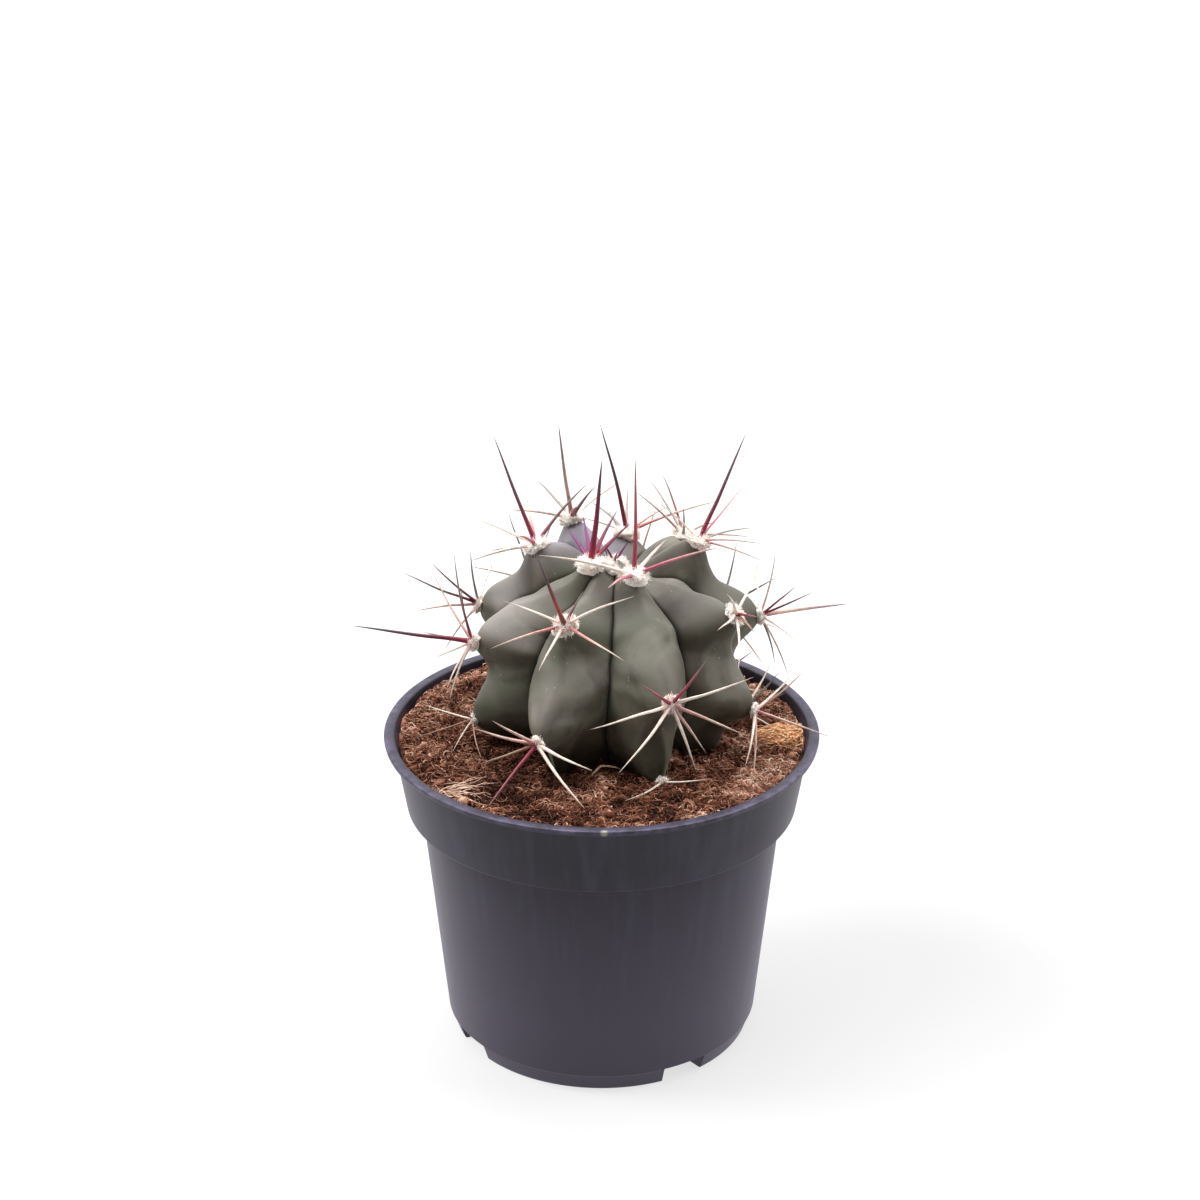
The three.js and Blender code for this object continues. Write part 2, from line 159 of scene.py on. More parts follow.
# Quads of a grid of rows and columns. The columns close on themselves, and each face has its UVs.
def gridPart(points, flip=False, box=(0, 0, 1, 1)):
    rows, columns = points.shape[:2]
    row, column = np.meshgrid(np.arange(rows - 1), np.arange(columns), indexing="ij")
    ring = [(0, 0), (0, 1), (1, 1), (1, 0)]
    if flip:
        ring = ring[::-1]
    faces = np.stack([(row + r) * columns + (column + c) % columns for r, c in ring], -1).reshape(-1, 4)
    across = np.stack([(column + c) / columns for r, c in ring], -1).reshape(-1, 4)
    along = np.stack([(row + r) / (rows - 1) for r, c in ring], -1).reshape(-1, 4)
    uv = np.stack([mix(box[0], box[2], across), mix(box[1], box[3], along)], -1)
    return {"points": points.reshape(-1, 3), "faces": [faces], "uv": [uv], "values": {}}


# Closes the first and the last ring of a grid by a face each.
def closeEnds(part, columns, turn=1, corner=(0, 0)):
    first = np.arange(columns)[None]
    last = first + len(part["points"]) - columns
    part["faces"] += [first[:, ::-turn], last[:, ::turn]]
    part["uv"] += [np.zeros((1, columns, 2)) + np.array(corner)] * 2
    return part


# Many thin tubes at once. A ring of points stands square to each step of each line, and both ends
# are closed by a face. lines is (tubes, steps, 3), radii (tubes, steps), and reference gives each
# tube a direction that its line never takes. Values are given for each step, and boxes are the
# tubes' strips of the UV map.
def tubesPart(lines, radii, reference, sides, values, boxes=(0, 0, 1, 1)):
    tubes, steps = radii.shape
    tangent = unit(np.gradient(lines, axis=1))
    side = unit(np.cross(tangent, reference[:, None, :]))
    up = np.cross(side, tangent)
    turn = np.arange(sides) * fullTurn / sides
    ring = side[:, :, None] * np.cos(turn)[:, None] + up[:, :, None] * np.sin(turn)[:, None]
    points = lines[:, :, None] + ring * radii[:, :, None, None]
    tube, step, corner = np.meshgrid(
        np.arange(tubes), np.arange(steps - 1), np.arange(sides), indexing="ij")
    quad = [(0, 0), (1, 0), (1, 1), (0, 1)]
    faces = np.stack([(tube * steps + step + s) * sides + (corner + c) % sides for s, c in quad], -1)
    across = np.stack([(corner + c) / sides for s, c in quad], -1)
    along = np.stack([(step + s) / (steps - 1) for s, c in quad], -1)
    left, low, right, high = np.broadcast_to(boxes, (tubes, 4)).T[..., None, None, None]
    uv = np.stack([mix(left, right, across), mix(low, high, along)], -1)
    first = (np.arange(tubes) * steps * sides)[:, None]
    ends = [first + np.arange(sides), first + (steps - 1) * sides + np.arange(sides)[::-1]]
    across = np.linspace(left[:, 0, 0, 0], right[:, 0, 0, 0], sides, axis=-1)
    endUv = [np.stack([across, place[:, 0, 0] + 0 * across], -1) for place in (low, high)]
    return {
        "points": points.reshape(-1, 3),
        "faces": [faces.reshape(-1, 4), *ends],
        "uv": [uv.reshape(-1, 4, 2), *endUv],
        "values": {
            name: np.repeat(value.reshape(-1, *value.shape[2:]), sides, axis=0)
            for name, value in values.items()
        },
    }


def newObject(name, data):
    item = bpy.data.objects.new(name, data)
    bpy.context.scene.collection.objects.link(item)
    return item


# Merges points that lie within 2 thousandths of a millimetre, which closes poles and seams.
def mergeDoubles(mesh):
    work = bmesh.new()
    work.from_mesh(mesh)
    bmesh.ops.remove_doubles(work, verts=work.verts, dist=0.002 * millimetre)
    bmesh.ops.dissolve_degenerate(work, edges=work.edges, dist=0.001 * millimetre)
    work.to_mesh(mesh)
    work.free()


# Makes a piece from its parts, each with points, faces, UVs, values at its points, and a look, which
# is the number of its material. A merged piece has its poles and seams closed.
def makePiece(name, parts, materials, replaced=(), mapped=False, merged=False):
    offsets = np.cumsum([0] + [len(part["points"]) for part in parts])
    points = np.concatenate([part["points"] for part in parts]) * millimetre
    sets = [
        (faces + offset, part.get("look", 0))
        for part, offset in zip(parts, offsets) for faces in part["faces"]
    ]
    counts = np.concatenate([np.full(len(faces), faces.shape[1]) for faces, look in sets])
    looks = np.concatenate([np.full(len(faces), look) for faces, look in sets])
    corners = np.concatenate([faces.ravel() for faces, look in sets])
    mesh = bpy.data.meshes.new(name)
    mesh.vertices.add(len(points))
    mesh.loops.add(len(corners))
    mesh.polygons.add(len(counts))
    mesh.vertices.foreach_set("co", points.astype(np.float32).ravel())
    mesh.loops.foreach_set("vertex_index", corners.astype(np.int32))
    mesh.polygons.foreach_set("loop_start", (np.cumsum(counts) - counts).astype(np.int32))
    mesh.polygons.foreach_set("material_index", looks.astype(np.int32))
    if mapped:
        layer = mesh.uv_layers.new(name="OFBake")
        places = np.concatenate([uv.reshape(-1, 2) for part in parts for uv in part["uv"]])
        layer.data.foreach_set("uv", places.astype(np.float32).ravel())
    for value, sample in parts[0]["values"].items():
        isColour = np.ndim(sample) == 2
        attribute = mesh.attributes.new(value, "FLOAT_COLOR" if isColour else "FLOAT", "POINT")
        numbers = np.concatenate([part["values"][value] for part in parts]).astype(np.float32)
        attribute.data.foreach_set("color" if isColour else "value", numbers.ravel())
    mesh.update(calc_edges=True)
    mesh.validate()
    for material in materials:
        mesh.materials.append(material)
    if merged:
        mergeDoubles(mesh)
    mesh.shade_smooth()
    piece = newObject(name, mesh)
    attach(piece, "root")
    if replaced:
        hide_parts(*replaced)
    print("made", name, "with", len(mesh.polygons), "faces")
    return piece


# The camera stands where the photograph was taken from, worked out from the pot's rim and foot.
view = {"place": (-0.44, -633.9, 405.0), "down": 23.58, "focal": 76.92, "sensor": 36}


def makeCamera():
    camera = newObject("camera", bpy.data.cameras.new("camera"))
    camera.data.lens = view["focal"]
    camera.data.sensor_width = view["sensor"]
    camera.location = [x * millimetre for x in view["place"]]
    camera.rotation_euler = (math.radians(90 - view["down"]), 0, 0)
    bpy.context.scene.camera = camera


# Soft boxes over a glowing white table with a painted shadow, in a room whose far side is bright:
# [name, place, width, height, power in watts], in metres.
studio = {
    "room": {"From Min": -0.3, "From Max": 0.8, "To Min": 0.12, "To Max": 1.3},   # light by direction
    "table": 3.0,                 # half its width
    "tableTop": -0.00003,         # a hair below the feet, so that no two faces coincide
    "tableGlow": [0.53, 0.745],   # light from the table itself, at its dimmest spot and just round it
    # a painted shadow of the pot, right of it: its middle, where the glow is dimmest, and its reach
    "paintedShadowSpot": (0.09, 0.03, 0),
    "paintedShadowReach": 0.13,
    "glowFar": 1.1,               # where the table glows fully
    "aim": np.array([0, 0, 0.08]),
    "boxes": [
        ["keyBox", (-1.25, 0.05, 1.3), 0.6, 0.6, 26],
        ["rightBox", (1.3, 0.1, 0.9), 0.8, 0.8, 13],
        ["topBox", (0.1, 0.35, 1.45), 1.6, 1.2, 35],
    ],
}


def makeStudio():
    world = bpy.data.worlds.new("whiteRoom")
    world.use_nodes = True
    tree = world.node_tree
    way = addNode(tree, "TexCoord").outputs["Generated"]
    depth = addNode(tree, "SeparateXYZ", {"Vector": way}).outputs["Y"]
    bright = addNode(tree, "MapRange", {"Value": depth, **studio["room"]})
    setInputs(tree, tree.nodes["Background"], {"Color": (1, 1, 1, 1), "Strength": bright})
    bpy.context.scene.world = world
    bpy.context.scene.view_settings.view_transform = "Standard"
    for name, place, width, height, power in studio["boxes"]:
        light = bpy.data.lights.new(name, "AREA")
        light.shape = "RECTANGLE"
        light.size = width
        light.size_y = height
        light.energy = power
        box = newObject(name, light)
        box.location = place
        aim = studio["aim"] - np.array(place)
        down = math.atan2(math.hypot(aim[0], aim[1]), -aim[2])
        box.rotation_euler = (down, 0, math.atan2(aim[0], -aim[1]) + math.pi)
    half, top = studio["table"], studio["tableTop"]
    mesh = bpy.data.meshes.new("whiteTable")
    corners = [(-half, -half, top), (half, -half, top), (half, half, top), (-half, half, top)]
    mesh.from_pydata(corners, [], [(0, 1, 2, 3)])
    mesh.materials.append(glowingAcrylic())
    newObject("whiteTable", mesh)


# White acrylic that glows by its own emission, in place of light from below, so that a shadow on it stays
# pale and its far side is pure white. The glow is dimmer near the pot and dimmest round a spot right of it,
# which is a painted shadow of the pot.
def glowingAcrylic():
    material, tree, shader = newMaterial("glowing white acrylic with painted shadow", {
        "Base Color": linear("#757575"), "Roughness": 0.7, "Emission Color": (1, 1, 1, 1),
        "Specular IOR Level": 0.1,
    })
    place = addNode(tree, "TexCoord").outputs["Object"]
    apart = addNode(tree, "VectorMath", {0: place, 1: studio["paintedShadowSpot"]}, operation="DISTANCE")
    away = apart.outputs["Value"]
    dim, pale = studio["tableGlow"]
    # painted shadow: the glow is dimmest round the spot and rises away from the pot
    near = addNode(tree, "MapRange", {
        "Value": away, "From Max": studio["paintedShadowReach"], "To Min": dim, "To Max": pale,
    }, interpolation_type="SMOOTHSTEP")
    far = addNode(tree, "MapRange", {
        "Value": away, "From Min": studio["paintedShadowReach"], "From Max": studio["glowFar"],
        "To Max": 1 - pale,
    })
    glow = addNode(tree, "Math", {0: near, 1: far}, operation="ADD")
    setInputs(tree, shader, {"Emission Strength": glow})
    return material


makeCamera()
makeStudio()
print("camera and studio ready")

# The pot is one thin-walled moulding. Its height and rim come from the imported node.
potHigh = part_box("pot")[1]
pot = {
    "height": potHigh.z / millimetre,
    "lipRadius": potHigh.x / millimetre,
    "lipInner": 57,
    "collarTop": 57.3,
    "collarBottom": 54.1,
    "collarStep": 69,
    "wallTop": 50.2,
    "wallBottom": 43.9,
    "footTop": 5.3,
    "footBottom": 41.9,
    "wall": 0.95,
    "floorTop": 4,
    "floorUnder": 3,
    "floorRadius": 33,
    "footPlate": 1,
    "channelInner": 29,
    "footAzimuth": -12.8,
    "notchHalfAngle": 8.8,
    "ridgeHalfAngle": 10.3,
    "drains": {"middle": 3.5, "outer": 3, "notchAt": 36.5, "footAt": 18, "sides": 28},
    "groove": {"azimuth": 17, "halfAngle": 6, "depth": 0.9, "bottom": 0.8, "below": 0.6},
    "slot": {"azimuth": 28, "halfAngle": 1.5, "inner": 38, "top": 4.2},
    "cutOuter": 50,               # cutters reach this far out
    "cutHeights": (-1, 9),
    "sharpFrom": 38,              # degrees
}


# Azimuths of a turned surface in degrees, with two close columns at each edge of each notch.
def potAzimuths(edges, count=96):
    close, clear = 0.02, 0.3
    quarter = np.linspace(-45, 45, count + 1)[:-1]
    kept = [
        a for a in quarter
        if all(abs(abs(a + 45 if a < 0 else a - 45) - edge) > clear for edge in edges)
    ]
    pairs = [side * 45 - side * (edge + d) for edge in edges for side in (-1, 1) for d in (-close, close)]
    one = np.sort(np.array(kept + pairs))
    return np.concatenate([one + pot["footAzimuth"] + 90 * i for i in range(4)])


# 1 over a foot and 0 over the notches between feet, whose middles lie 45 degrees from a foot's.
def footMask(azimuths, halfAngle):
    fromNotch = np.abs((azimuths - pot["footAzimuth"]) % 90 - 45)
    return (fromNotch > halfAngle).astype(float)


# Rows of a profile through corners [radius, height, fillet]: each corner is rounded by a quadratic
# curve, and straight stretches get points near their ends. Two variants are worked out alike.
def roundedProfile(corners, arc=5, spacing=4.0, support=0.35):
    corners = np.asarray(corners, float)
    rows = [corners[:, 0, :2]]
    for i in range(1, corners.shape[1]):
        here = corners[:, i, :2]
        fillet = corners[:, i, 2:] if i < corners.shape[1] - 1 else 0 * corners[:, i, 2:]
        before = unit(corners[:, i - 1, :2] - here) * fillet
        start = here + before
        length = np.linalg.norm(start - rows[-1], axis=-1).max()
        if length > 3 * support:
            inner = np.linspace(support, length - support, max(2, int(length / spacing) + 2)) / length
            rows += [mix(rows[-1], start, share) for share in inner]
        if fillet.max() > 0:
            after = unit(corners[:, i + 1, :2] - here) * fillet
            shares = np.linspace(0, 1, arc)
            rows += [start * (1 - t) ** 2 + here * 2 * t * (1 - t) + (here + after) * t * t for t in shares]
        else:
            rows.append(start)
    return np.stack(rows, 1)


# Turns a profile about the Z axis: its first variant stands over the feet, its second between them.
def turnedPoints(profile, azimuths, foot):
    profile = mix(profile[1][:, None], profile[0][:, None], foot[..., None])
    angle = np.radians(azimuths)
    x, y = profile[..., 0] * np.sin(angle), -profile[..., 0] * np.cos(angle)
    return np.stack([x, y, profile[..., 1]], -1)


def pair(foot, notch=None):
    return [foot, notch or foot]


# Corners of the pot's outside, from the middle of its floor out to the lip.
def potOutside():
    low, channel, floor = pot["footTop"], pot["channelInner"], pot["floorRadius"]
    foot, wall, under = pot["footBottom"], pot["wallBottom"], pot["floorUnder"]
    return [
        pair((0, under, 0)),
        pair((channel, under, 0)),
        pair((floor, under, 0), (channel, low, 0)),
        pair((floor, 0, 0.3), (floor, low, 0.3)),
        pair((foot, 0, 0.7), (foot, low, 0.7)),
        pair((wall - 0.4, low - 0.3, 0.15), (wall - 0.4, low, 0.15)),
        pair((wall, low, 0.15), (wall, low, 0.3)),
        pair((pot["wallTop"], pot["collarStep"] - 0.4, 0.25)),
        pair((pot["collarBottom"], pot["collarStep"], 0.4)),
        pair((pot["collarTop"], pot["height"] - 1.8, 0.4)),
        pair((pot["lipRadius"] - 0.3, pot["height"] - 1.45, 0.25)),
        pair((pot["lipRadius"], pot["height"], 0.55)),
    ]


# Corners of the pot's inside, from the lip down to the middle of its floor, drawn in by a gap.
def cavityInside(gap):
    inset = pot["wall"] + gap
    ridge = pot["footTop"] + 1 + gap
    foot, wall = pot["footBottom"] - inset + 0.3, pot["wallBottom"] - inset
    floor, channel = pot["floorRadius"] + 1 + gap, pot["channelInner"] - 1 - gap
    plate, top, step = pot["footPlate"] + gap, pot["floorTop"] + gap, pot["collarStep"] + inset
    return [
        pair((pot["lipInner"] - gap, pot["height"], 0.5)),
        pair((pot["collarTop"] - inset, pot["height"] - 2.5, 0.3)),
        pair((pot["collarBottom"] - inset, step, 0.2)),
        pair((pot["wallTop"] - inset, step, 0.2)),
        pair((wall, pot["footTop"], 0), (wall, ridge, 0)),
        pair((foot, plate, 0), (foot, ridge, 0)),
        pair((floor, plate, 0), (floor, ridge, 0)),
        pair((floor, top, 0), (channel, ridge, 0)),
        pair((channel, top, 0)),
        pair((0, top, 0)),
    ]


# A closed block that fills an angle about an azimuth, between two radii and two heights.
def sectorBlock(azimuth, halfAngle, inner, outer, bottom, top):
    angles = np.radians(np.linspace(azimuth - halfAngle, azimuth + halfAngle, 5))
    ring = np.array([[inner, bottom], [outer, bottom], [outer, top], [inner, top]])
    points = np.stack([
        ring[:, None, 0] * np.sin(angles), -ring[:, None, 0] * np.cos(angles),
        ring[:, None, 1] + 0 * angles,
    ], -1).transpose(1, 0, 2)
    return closeEnds(gridPart(points), len(ring))


# A closed round post that cuts a drain hole.
def drainPost(azimuth, at, radius):
    sides = pot["drains"]["sides"]
    turn = np.arange(sides) * fullTurn / sides
    centre = np.array([at * math.sin(math.radians(azimuth)), -at * math.cos(math.radians(azimuth))])
    ring = centre + radius * onCircle(turn)
    points = np.stack([np.concatenate([ring, np.full((sides, 1), z)], 1) for z in pot["cutHeights"]])
    return closeEnds(gridPart(points), sides)


# Cuts a cutter out of a piece, and removes the cutter.
def carve(piece, cutter):
    boolean = piece.modifiers.new("carve", "BOOLEAN")
    boolean.operation = "DIFFERENCE"
    boolean.solver = "EXACT"
    boolean.object = cutter
    graph = bpy.context.evaluated_depsgraph_get()
    carved = bpy.data.meshes.new_from_object(piece.evaluated_get(graph))
    piece.modifiers.clear()
    old = piece.data
    piece.data = carved
    carved.name = piece.name
    bpy.data.meshes.remove(old)
    bpy.data.objects.remove(cutter)


# The pot's wall is one closed surface, outside and inside. The ridges over the notches are wider on
# the inside. Drains, the feet's grooves and the side feet's slots are cut from it.
def makePot(material):
    edges = [pot["notchHalfAngle"], pot["ridgeHalfAngle"]]
    azimuths = potAzimuths(edges)
    profile = roundedProfile(np.array(potOutside() + cavityInside(0)).transpose(1, 0, 2))
    outerRows = np.argmax(profile[0, :, 1]) + 3
    isOuter = np.arange(profile.shape[1])[:, None] <= outerRows
    foot = np.where(isOuter, *(footMask(azimuths, edge) for edge in edges))
    wall = gridPart(turnedPoints(profile, azimuths, foot), flip=True)
    piece = makePiece("nursery_pot", [wall], [material], ["pot"], merged=True)
    drains, groove, slot = pot["drains"], pot["groove"], pot["slot"]
    cutters = [drainPost(0, 0, drains["middle"])]
    for i in range(4):
        notch = pot["footAzimuth"] + 45 + 90 * i
        cutters += [
            drainPost(notch, drains["notchAt"], drains["outer"]),
            drainPost(notch + 45, drains["footAt"], drains["outer"]),
        ]
        for side in (-1, 1):
            cutters.append(sectorBlock(
                notch - 45 + side * groove["azimuth"], groove["halfAngle"],
                pot["wallBottom"] - groove["depth"], pot["cutOuter"],
                groove["bottom"], pot["footTop"] - groove["below"],
            ))
            if i % 2:
                cutters.append(sectorBlock(
                    notch - 45 + side * slot["azimuth"], slot["halfAngle"],
                    slot["inner"], pot["cutOuter"], pot["cutHeights"][0], slot["top"],
                ))
    carve(piece, makePiece("potCutter", cutters, [material]))
    piece.data.shade_smooth()
    piece.data.set_sharp_from_angle(angle=math.radians(pot["sharpFrom"]))


# Where the pot is worn, and where light bounced from the table is painted on it, in metres, each from
# where it starts to where it is strongest.
potWearAndBounce = {
    # painted bounce light from the table: paler towards the foot
    "paintedBounce": (0.076, 0.02), "rimHeight": (0.0884, 0.0898), "rimRadius": (0.0568, 0.0598),
    "speck": (0.0006, -0.0596, 0.0896), "speckReach": (0.0012, 0.0005),
}


# Injection-moulded polypropylene, dyed dark blue-grey: a soft satin with a fine matte grain, faint
# upright drag marks on the walls, painted bounce light from the table that makes it paler towards the
# foot, pale scuffs along the rim and one chalky speck at its front.
def mouldedPolypropylene():
    material, tree, shader = newMaterial("moulded polypropylene, dark blue-grey", {
        "Roughness": 0.42, "IOR": 1.49, "Specular IOR Level": 0.3,
        "Sheen Weight": 0.14, "Sheen Roughness": 0.35, "Sheen Tint": linear("#c8bcdc"),
    })
    place = addNode(tree, "TexCoord").outputs["Object"]
    height = addNode(tree, "SeparateXYZ", {"Vector": place}).outputs["Z"]
    clouds = addNode(tree, "TexNoise", {"Vector": place, "Scale": 35, "Detail": 4})
    body = addNode(tree, "ValToRGB", {"Fac": clouds}, [(0.3, "#15111c"), (0.7, "#1c1826")])
    drawn = addNode(tree, "Mapping", {"Vector": place, "Scale": (1, 1, 0.03)})
    streaks = addNode(tree, "TexNoise", {"Vector": drawn, "Scale": 260, "Detail": 4})
    rubbed = addNode(tree, "TexNoise", {"Vector": place, "Scale": 260, "Detail": 6, "Roughness": 0.7})
    scuff = addNode(tree, "MapRange", {
        "Value": rubbed, "From Min": 0.4, "From Max": 0.66, "To Min": 0.1, "To Max": 0.65,
    })
    flat = addNode(tree, "VectorMath", {0: place, 1: (1, 1, 0)}, operation="MULTIPLY")
    radius = addNode(tree, "VectorMath", {0: flat}, operation="LENGTH").outputs["Value"]
    for value, (start, end) in ((height, potWearAndBounce["rimHeight"]), (radius, potWearAndBounce["rimRadius"])):
        near = addNode(tree, "MapRange", {"Value": value, "From Min": start, "From Max": end})
        scuff = addNode(tree, "Math", {0: scuff, 1: near}, operation="MULTIPLY")
    apart = addNode(tree, "VectorMath", {0: place, 1: potWearAndBounce["speck"]}, operation="DISTANCE")
    wornAndBounceLit = layered(tree, body, [
        (streaks, 0.45, 0.7, 0.75, "#2c2a38"),
        # painted bounce light from the table, paler towards the foot
        (height, *potWearAndBounce["paintedBounce"], 0.8, "#484152"),
        (scuff, 0, 1, 1, "#675f7a"),
        (apart.outputs["Value"], *potWearAndBounce["speckReach"], 0.5, "#b9b3a0"),
    ])
    rough = addNode(tree, "MapRange", {"Value": streaks, "To Min": 0.38, "To Max": 0.5})
    grain = addNode(tree, "TexNoise", {"Vector": place, "Scale": 2600, "Detail": 2})
    relief = addNode(tree, "Math", {0: grain, 1: streaks}, operation="ADD")
    bump = addNode(tree, "Bump", {"Height": relief, "Strength": 0.2, "Distance": 0.00005})
    setInputs(tree, shader, {"Base Color": wornAndBounceLit, "Roughness": rough, "Normal": bump})
    return material


makePot(mouldedPolypropylene())
print("pot ready")

# The cactus: a rib's crest as radius and height, from the growing point to the root's tip.
crestLine = [
    (0, 131.5), (3, 132.5), (9, 134), (17, 133.2), (24.2, 129.7), (30, 123.5), (33, 116),
    (33.8, 107), (33.2, 98), (31.5, 89), (27, 80.5), (18, 71), (8, 62), (0, 58),
]

plant = {
    "foot": (2.5, 5),             # middle of the plant at soil level
    "crown": (3.9, 10),           # middle of its crown
    "leanFrom": 95,               # the crown's offset and lean grow between these heights
    "leanTo": 135,
    "lean": 0.25,
    "furrow": 8.5,                # depth of a furrow of ordinary width at the waist
    "footFurrow": 0.45,           # how much deeper the furrows are near the soil
    "waist": 35,
    "ribSpan": 40,                # angle from crest to crest that counts as ordinary
    "grown": 30,                  # distance from the crown by which ribs run straight and noses are full
    "noseYoung": 6.2,             # reach of the swelling under a young areole
    "noseAbove": 9.5,             # reach of a grown one, towards the crown
    "noseBelow": 4.8,             # and towards the root
    "noseHeights": [(0, 20, 40, 55, 70), (2.4, 5, 5.6, 5.6, 4)],   # by distance from the crown
    "crownFlat": 10,              # radius within which swellings push up more than out
    "lumps": [(10, 0.8, 3), (4.5, 0.35, 4)],     # [size, height, seed]
    "wander": (8, 1.5, 6),                       # size, degrees and seed of the furrows' wandering
    "scar": {"below": 4.5, "spread": 30},
    "columns": 48,                # from crest to crest
    "rows": 224,
    "rowsAt": [(0, 0.8, 1), (0, 80)],            # most rows lie within 80 mm of the crown
}

# Ribs go round the plant, each with its azimuth in degrees. A spine is [clock, lift, length, tint]: its
# angle from straight up the rib towards the right, its angle off the skin and its length to where the
# tip fades from view. A central one is thicker, and "thick" scales the others of its areole.
ribs = [
    {"name": "i", "azimuth": -144.5, "nose": 0.95, "sink": 0.5, "areoles": [
        {"along": 19.5, "thick": 1.25, "central": [25, 60, 30, "banded"], "spines": [
            [200, 30, 21, "cream"], [190, 30, 22, "grey"], [100, 20, 18, "cream"], [5, 25, 19, "redGrey"],
            [25, 15, 15, "red"], [270, 20, 18, "cream"]]},
        {"along": 45, "turned": 20},
        {"along": 68, "turned": 35, "low": True},
    ]},
    {"name": "a", "azimuth": -105, "sink": 0.5, "areoles": [
        {"along": 21, "thick": 1.35, "central": [255, 70, 31, "dark"], "spines": [
            [315, 20, 22, "redGrey"], [255, 20, 24, "redCream"], [210, 25, 21, "cream"],
            [135, 15, 19, "cream"], [75, 25, 19, "rose"], [165, 15, 12, "cream"]]},
        {"along": 41.5, "thick": 0.95, "spines": [
            [45, 30, 24, "redGrey"], [60, 40, 28, "redGrey"], [80, 25, 26, "pink"], [15, 15, 18, "grey"],
            [290, 5, 23, "cream"], [180, 20, 18, "cream"]]},
    ]},
    {"name": "b", "azimuth": -76.5, "bend": 31, "nose": 1.15, "sink": 1.5, "areoles": [
        {"along": 9, "young": True, "thick": 1.6, "central": [120, 75, 32, "crimson"], "spines": [
            [280, 15, 16, "magenta"], [295, 25, 18, "magenta"], [325, 25, 21, "crimson"],
            [340, 20, 19, "crimson"], [310, 50, 12, "crimson"]]},
        {"along": 41, "thick": 0.95, "central": [245, 75, 32, "dark"], "spines": [
            [250, 25, 21, "redGrey"], [335, 20, 24, "redGrey"], [20, 25, 20, "red"], [300, 25, 23, "pink"],
            [225, 20, 16, "cream"], [115, 20, 22, "grey"], [115, 25, 20, "pink"]]},
        {"along": 63, "thick": 0.6, "spines": [
            [25, 25, 19, "brown"], [265, 30, 22, "cream"], [230, 70, 18, "brown"], [100, 35, 14, "cream"],
            [100, 5, 17, "brown"]]},
    ]},
    {"name": "c", "azimuth": -29, "nose": 1.2, "sink": 1.5, "areoles": [
        {"along": 1, "young": True, "drifts": [(2.4, 7, 2.4), (2.9, 6, 2.7), (3.4, 6, 2.4)], "spines": [
            [145, 40, 9, "crimson"], [200, 60, 8, "crimson"], [60, 60, 8, "magenta"]]},
        {"along": 25.5, "thick": 1.05, "central": [45, 85, 32, "mottled"], "spines": [
            [270, 20, 17, "cream"], [65, 20, 22, "cream"], [20, 25, 10, "redGrey"],
            [225, 15, 20, "redCream"], [175, 15, 17, "cream"], [110, 10, 24, "redCream"]]},
        {"along": 57, "thick": 1.2, "spines": [
            [280, 15, 17, "pink"], [315, 30, 14, "pink"], [245, 20, 17, "brown"], [205, 55, 22, "red"],
            [95, 10, 18, "cream"], [115, 25, 23, "cream"]]},
    ]},
    {"name": "d", "azimuth": 23, "nose": 0.85, "sink": -1, "areoles": [
        {"along": 12.5, "thick": 1.4, "central": [20, 65, 30, "red"], "spines": [
            [285, 15, 26, "cream"], [60, 20, 15, "cream"], [110, 20, 23, "rose"],
            [225, 15, 20, "rose"]]},
        {"along": 44.5, "thick": 1.15, "spines": [
            [30, 25, 16, "red"], [70, 25, 22, "cream"], [120, 10, 22, "pink"], [150, 10, 16, "pink"],
            [165, 10, 19, "cream"], [240, 25, 25, "cream"], [270, 15, 26, "cream"], [310, 25, 15, "red"]]},
        {"along": 70, "thick": 0.8, "spines": [
            [65, 27, 13.5, "cream"], [287, 26, 16.5, "cream"]]},
    ]},
    {"name": "e", "azimuth": 68.5, "nose": 1.45, "sink": 3, "areoles": [
        {"along": 31, "spines": [
            [70, 20, 19, "cream"], [245, 5, 22, "cream"], [255, 45, 14, "red"], [275, 10, 19, "cream"],
            [240, 30, 13, "brown"], [295, 30, 21, "cream"]]},
        {"along": 57, "thick": 1.0, "spines": [
            [75, 20, 20, "brown"], [65, 20, 16, "cream"], [150, 80, 21, "pink"], [235, 10, 17, "cream"],
            [225, 15, 21, "pink"]]},
    ]},
    {"name": "f", "azimuth": 103, "nose": 1.4, "sink": 2, "areoles": [
        {"along": 20.5, "thick": 0.8, "central": [110, 70, 31, "dark"], "spines": [
            [125, 30, 27, "rose"], [150, 15, 21, "grey"], [235, 25, 20, "pink"], [220, 10, 19, "pink"],
            [115, 25, 19, "grey"], [20, 20, 15, "cream"]]},
        {"along": 43.5, "thick": 0.85, "central": [130, 65, 30, "banded"], "spines": [
            [305, 35, 21, "redGrey"], [355, 20, 19, "cream"], [315, 25, 19, "red"], [265, 15, 18, "cream"],
            [175, 15, 22, "cream"], [160, 10, 21, "grey"], [60, 10, 19, "cream"]]},
        {"along": 68, "turned": 15, "low": True},
    ]},
    {"name": "g", "azimuth": 130, "sink": 4, "areoles": [
        {"along": 22.5, "thick": 0.95, "spines": [
            [105, 30, 26, "mottled"], [85, 30, 21, "grey"], [325, 20, 22, "grey"], [20, 20, 19, "pink"],
            [160, 20, 18, "grey"], [215, 20, 18, "pink"]]},
        {"along": 48, "turned": 5},
        {"along": 66, "turned": 25, "low": True},
    ]},
    {"name": "h", "azimuth": 170, "nose": 0.95, "sink": 6.5, "areoles": [
        {"along": 17.5, "thick": 1.15, "central": [45, 70, 31, "dark"], "spines": [
            [170, 30, 21, "grey"], [245, 20, 26, "redCream"], [135, 20, 19, "grey"], [105, 12, 13, "cream"],
            [210, 20, 18, "pink"]]},
        {"along": 43, "turned": 30},
        {"along": 66, "turned": 0, "low": True},
    ]},
]


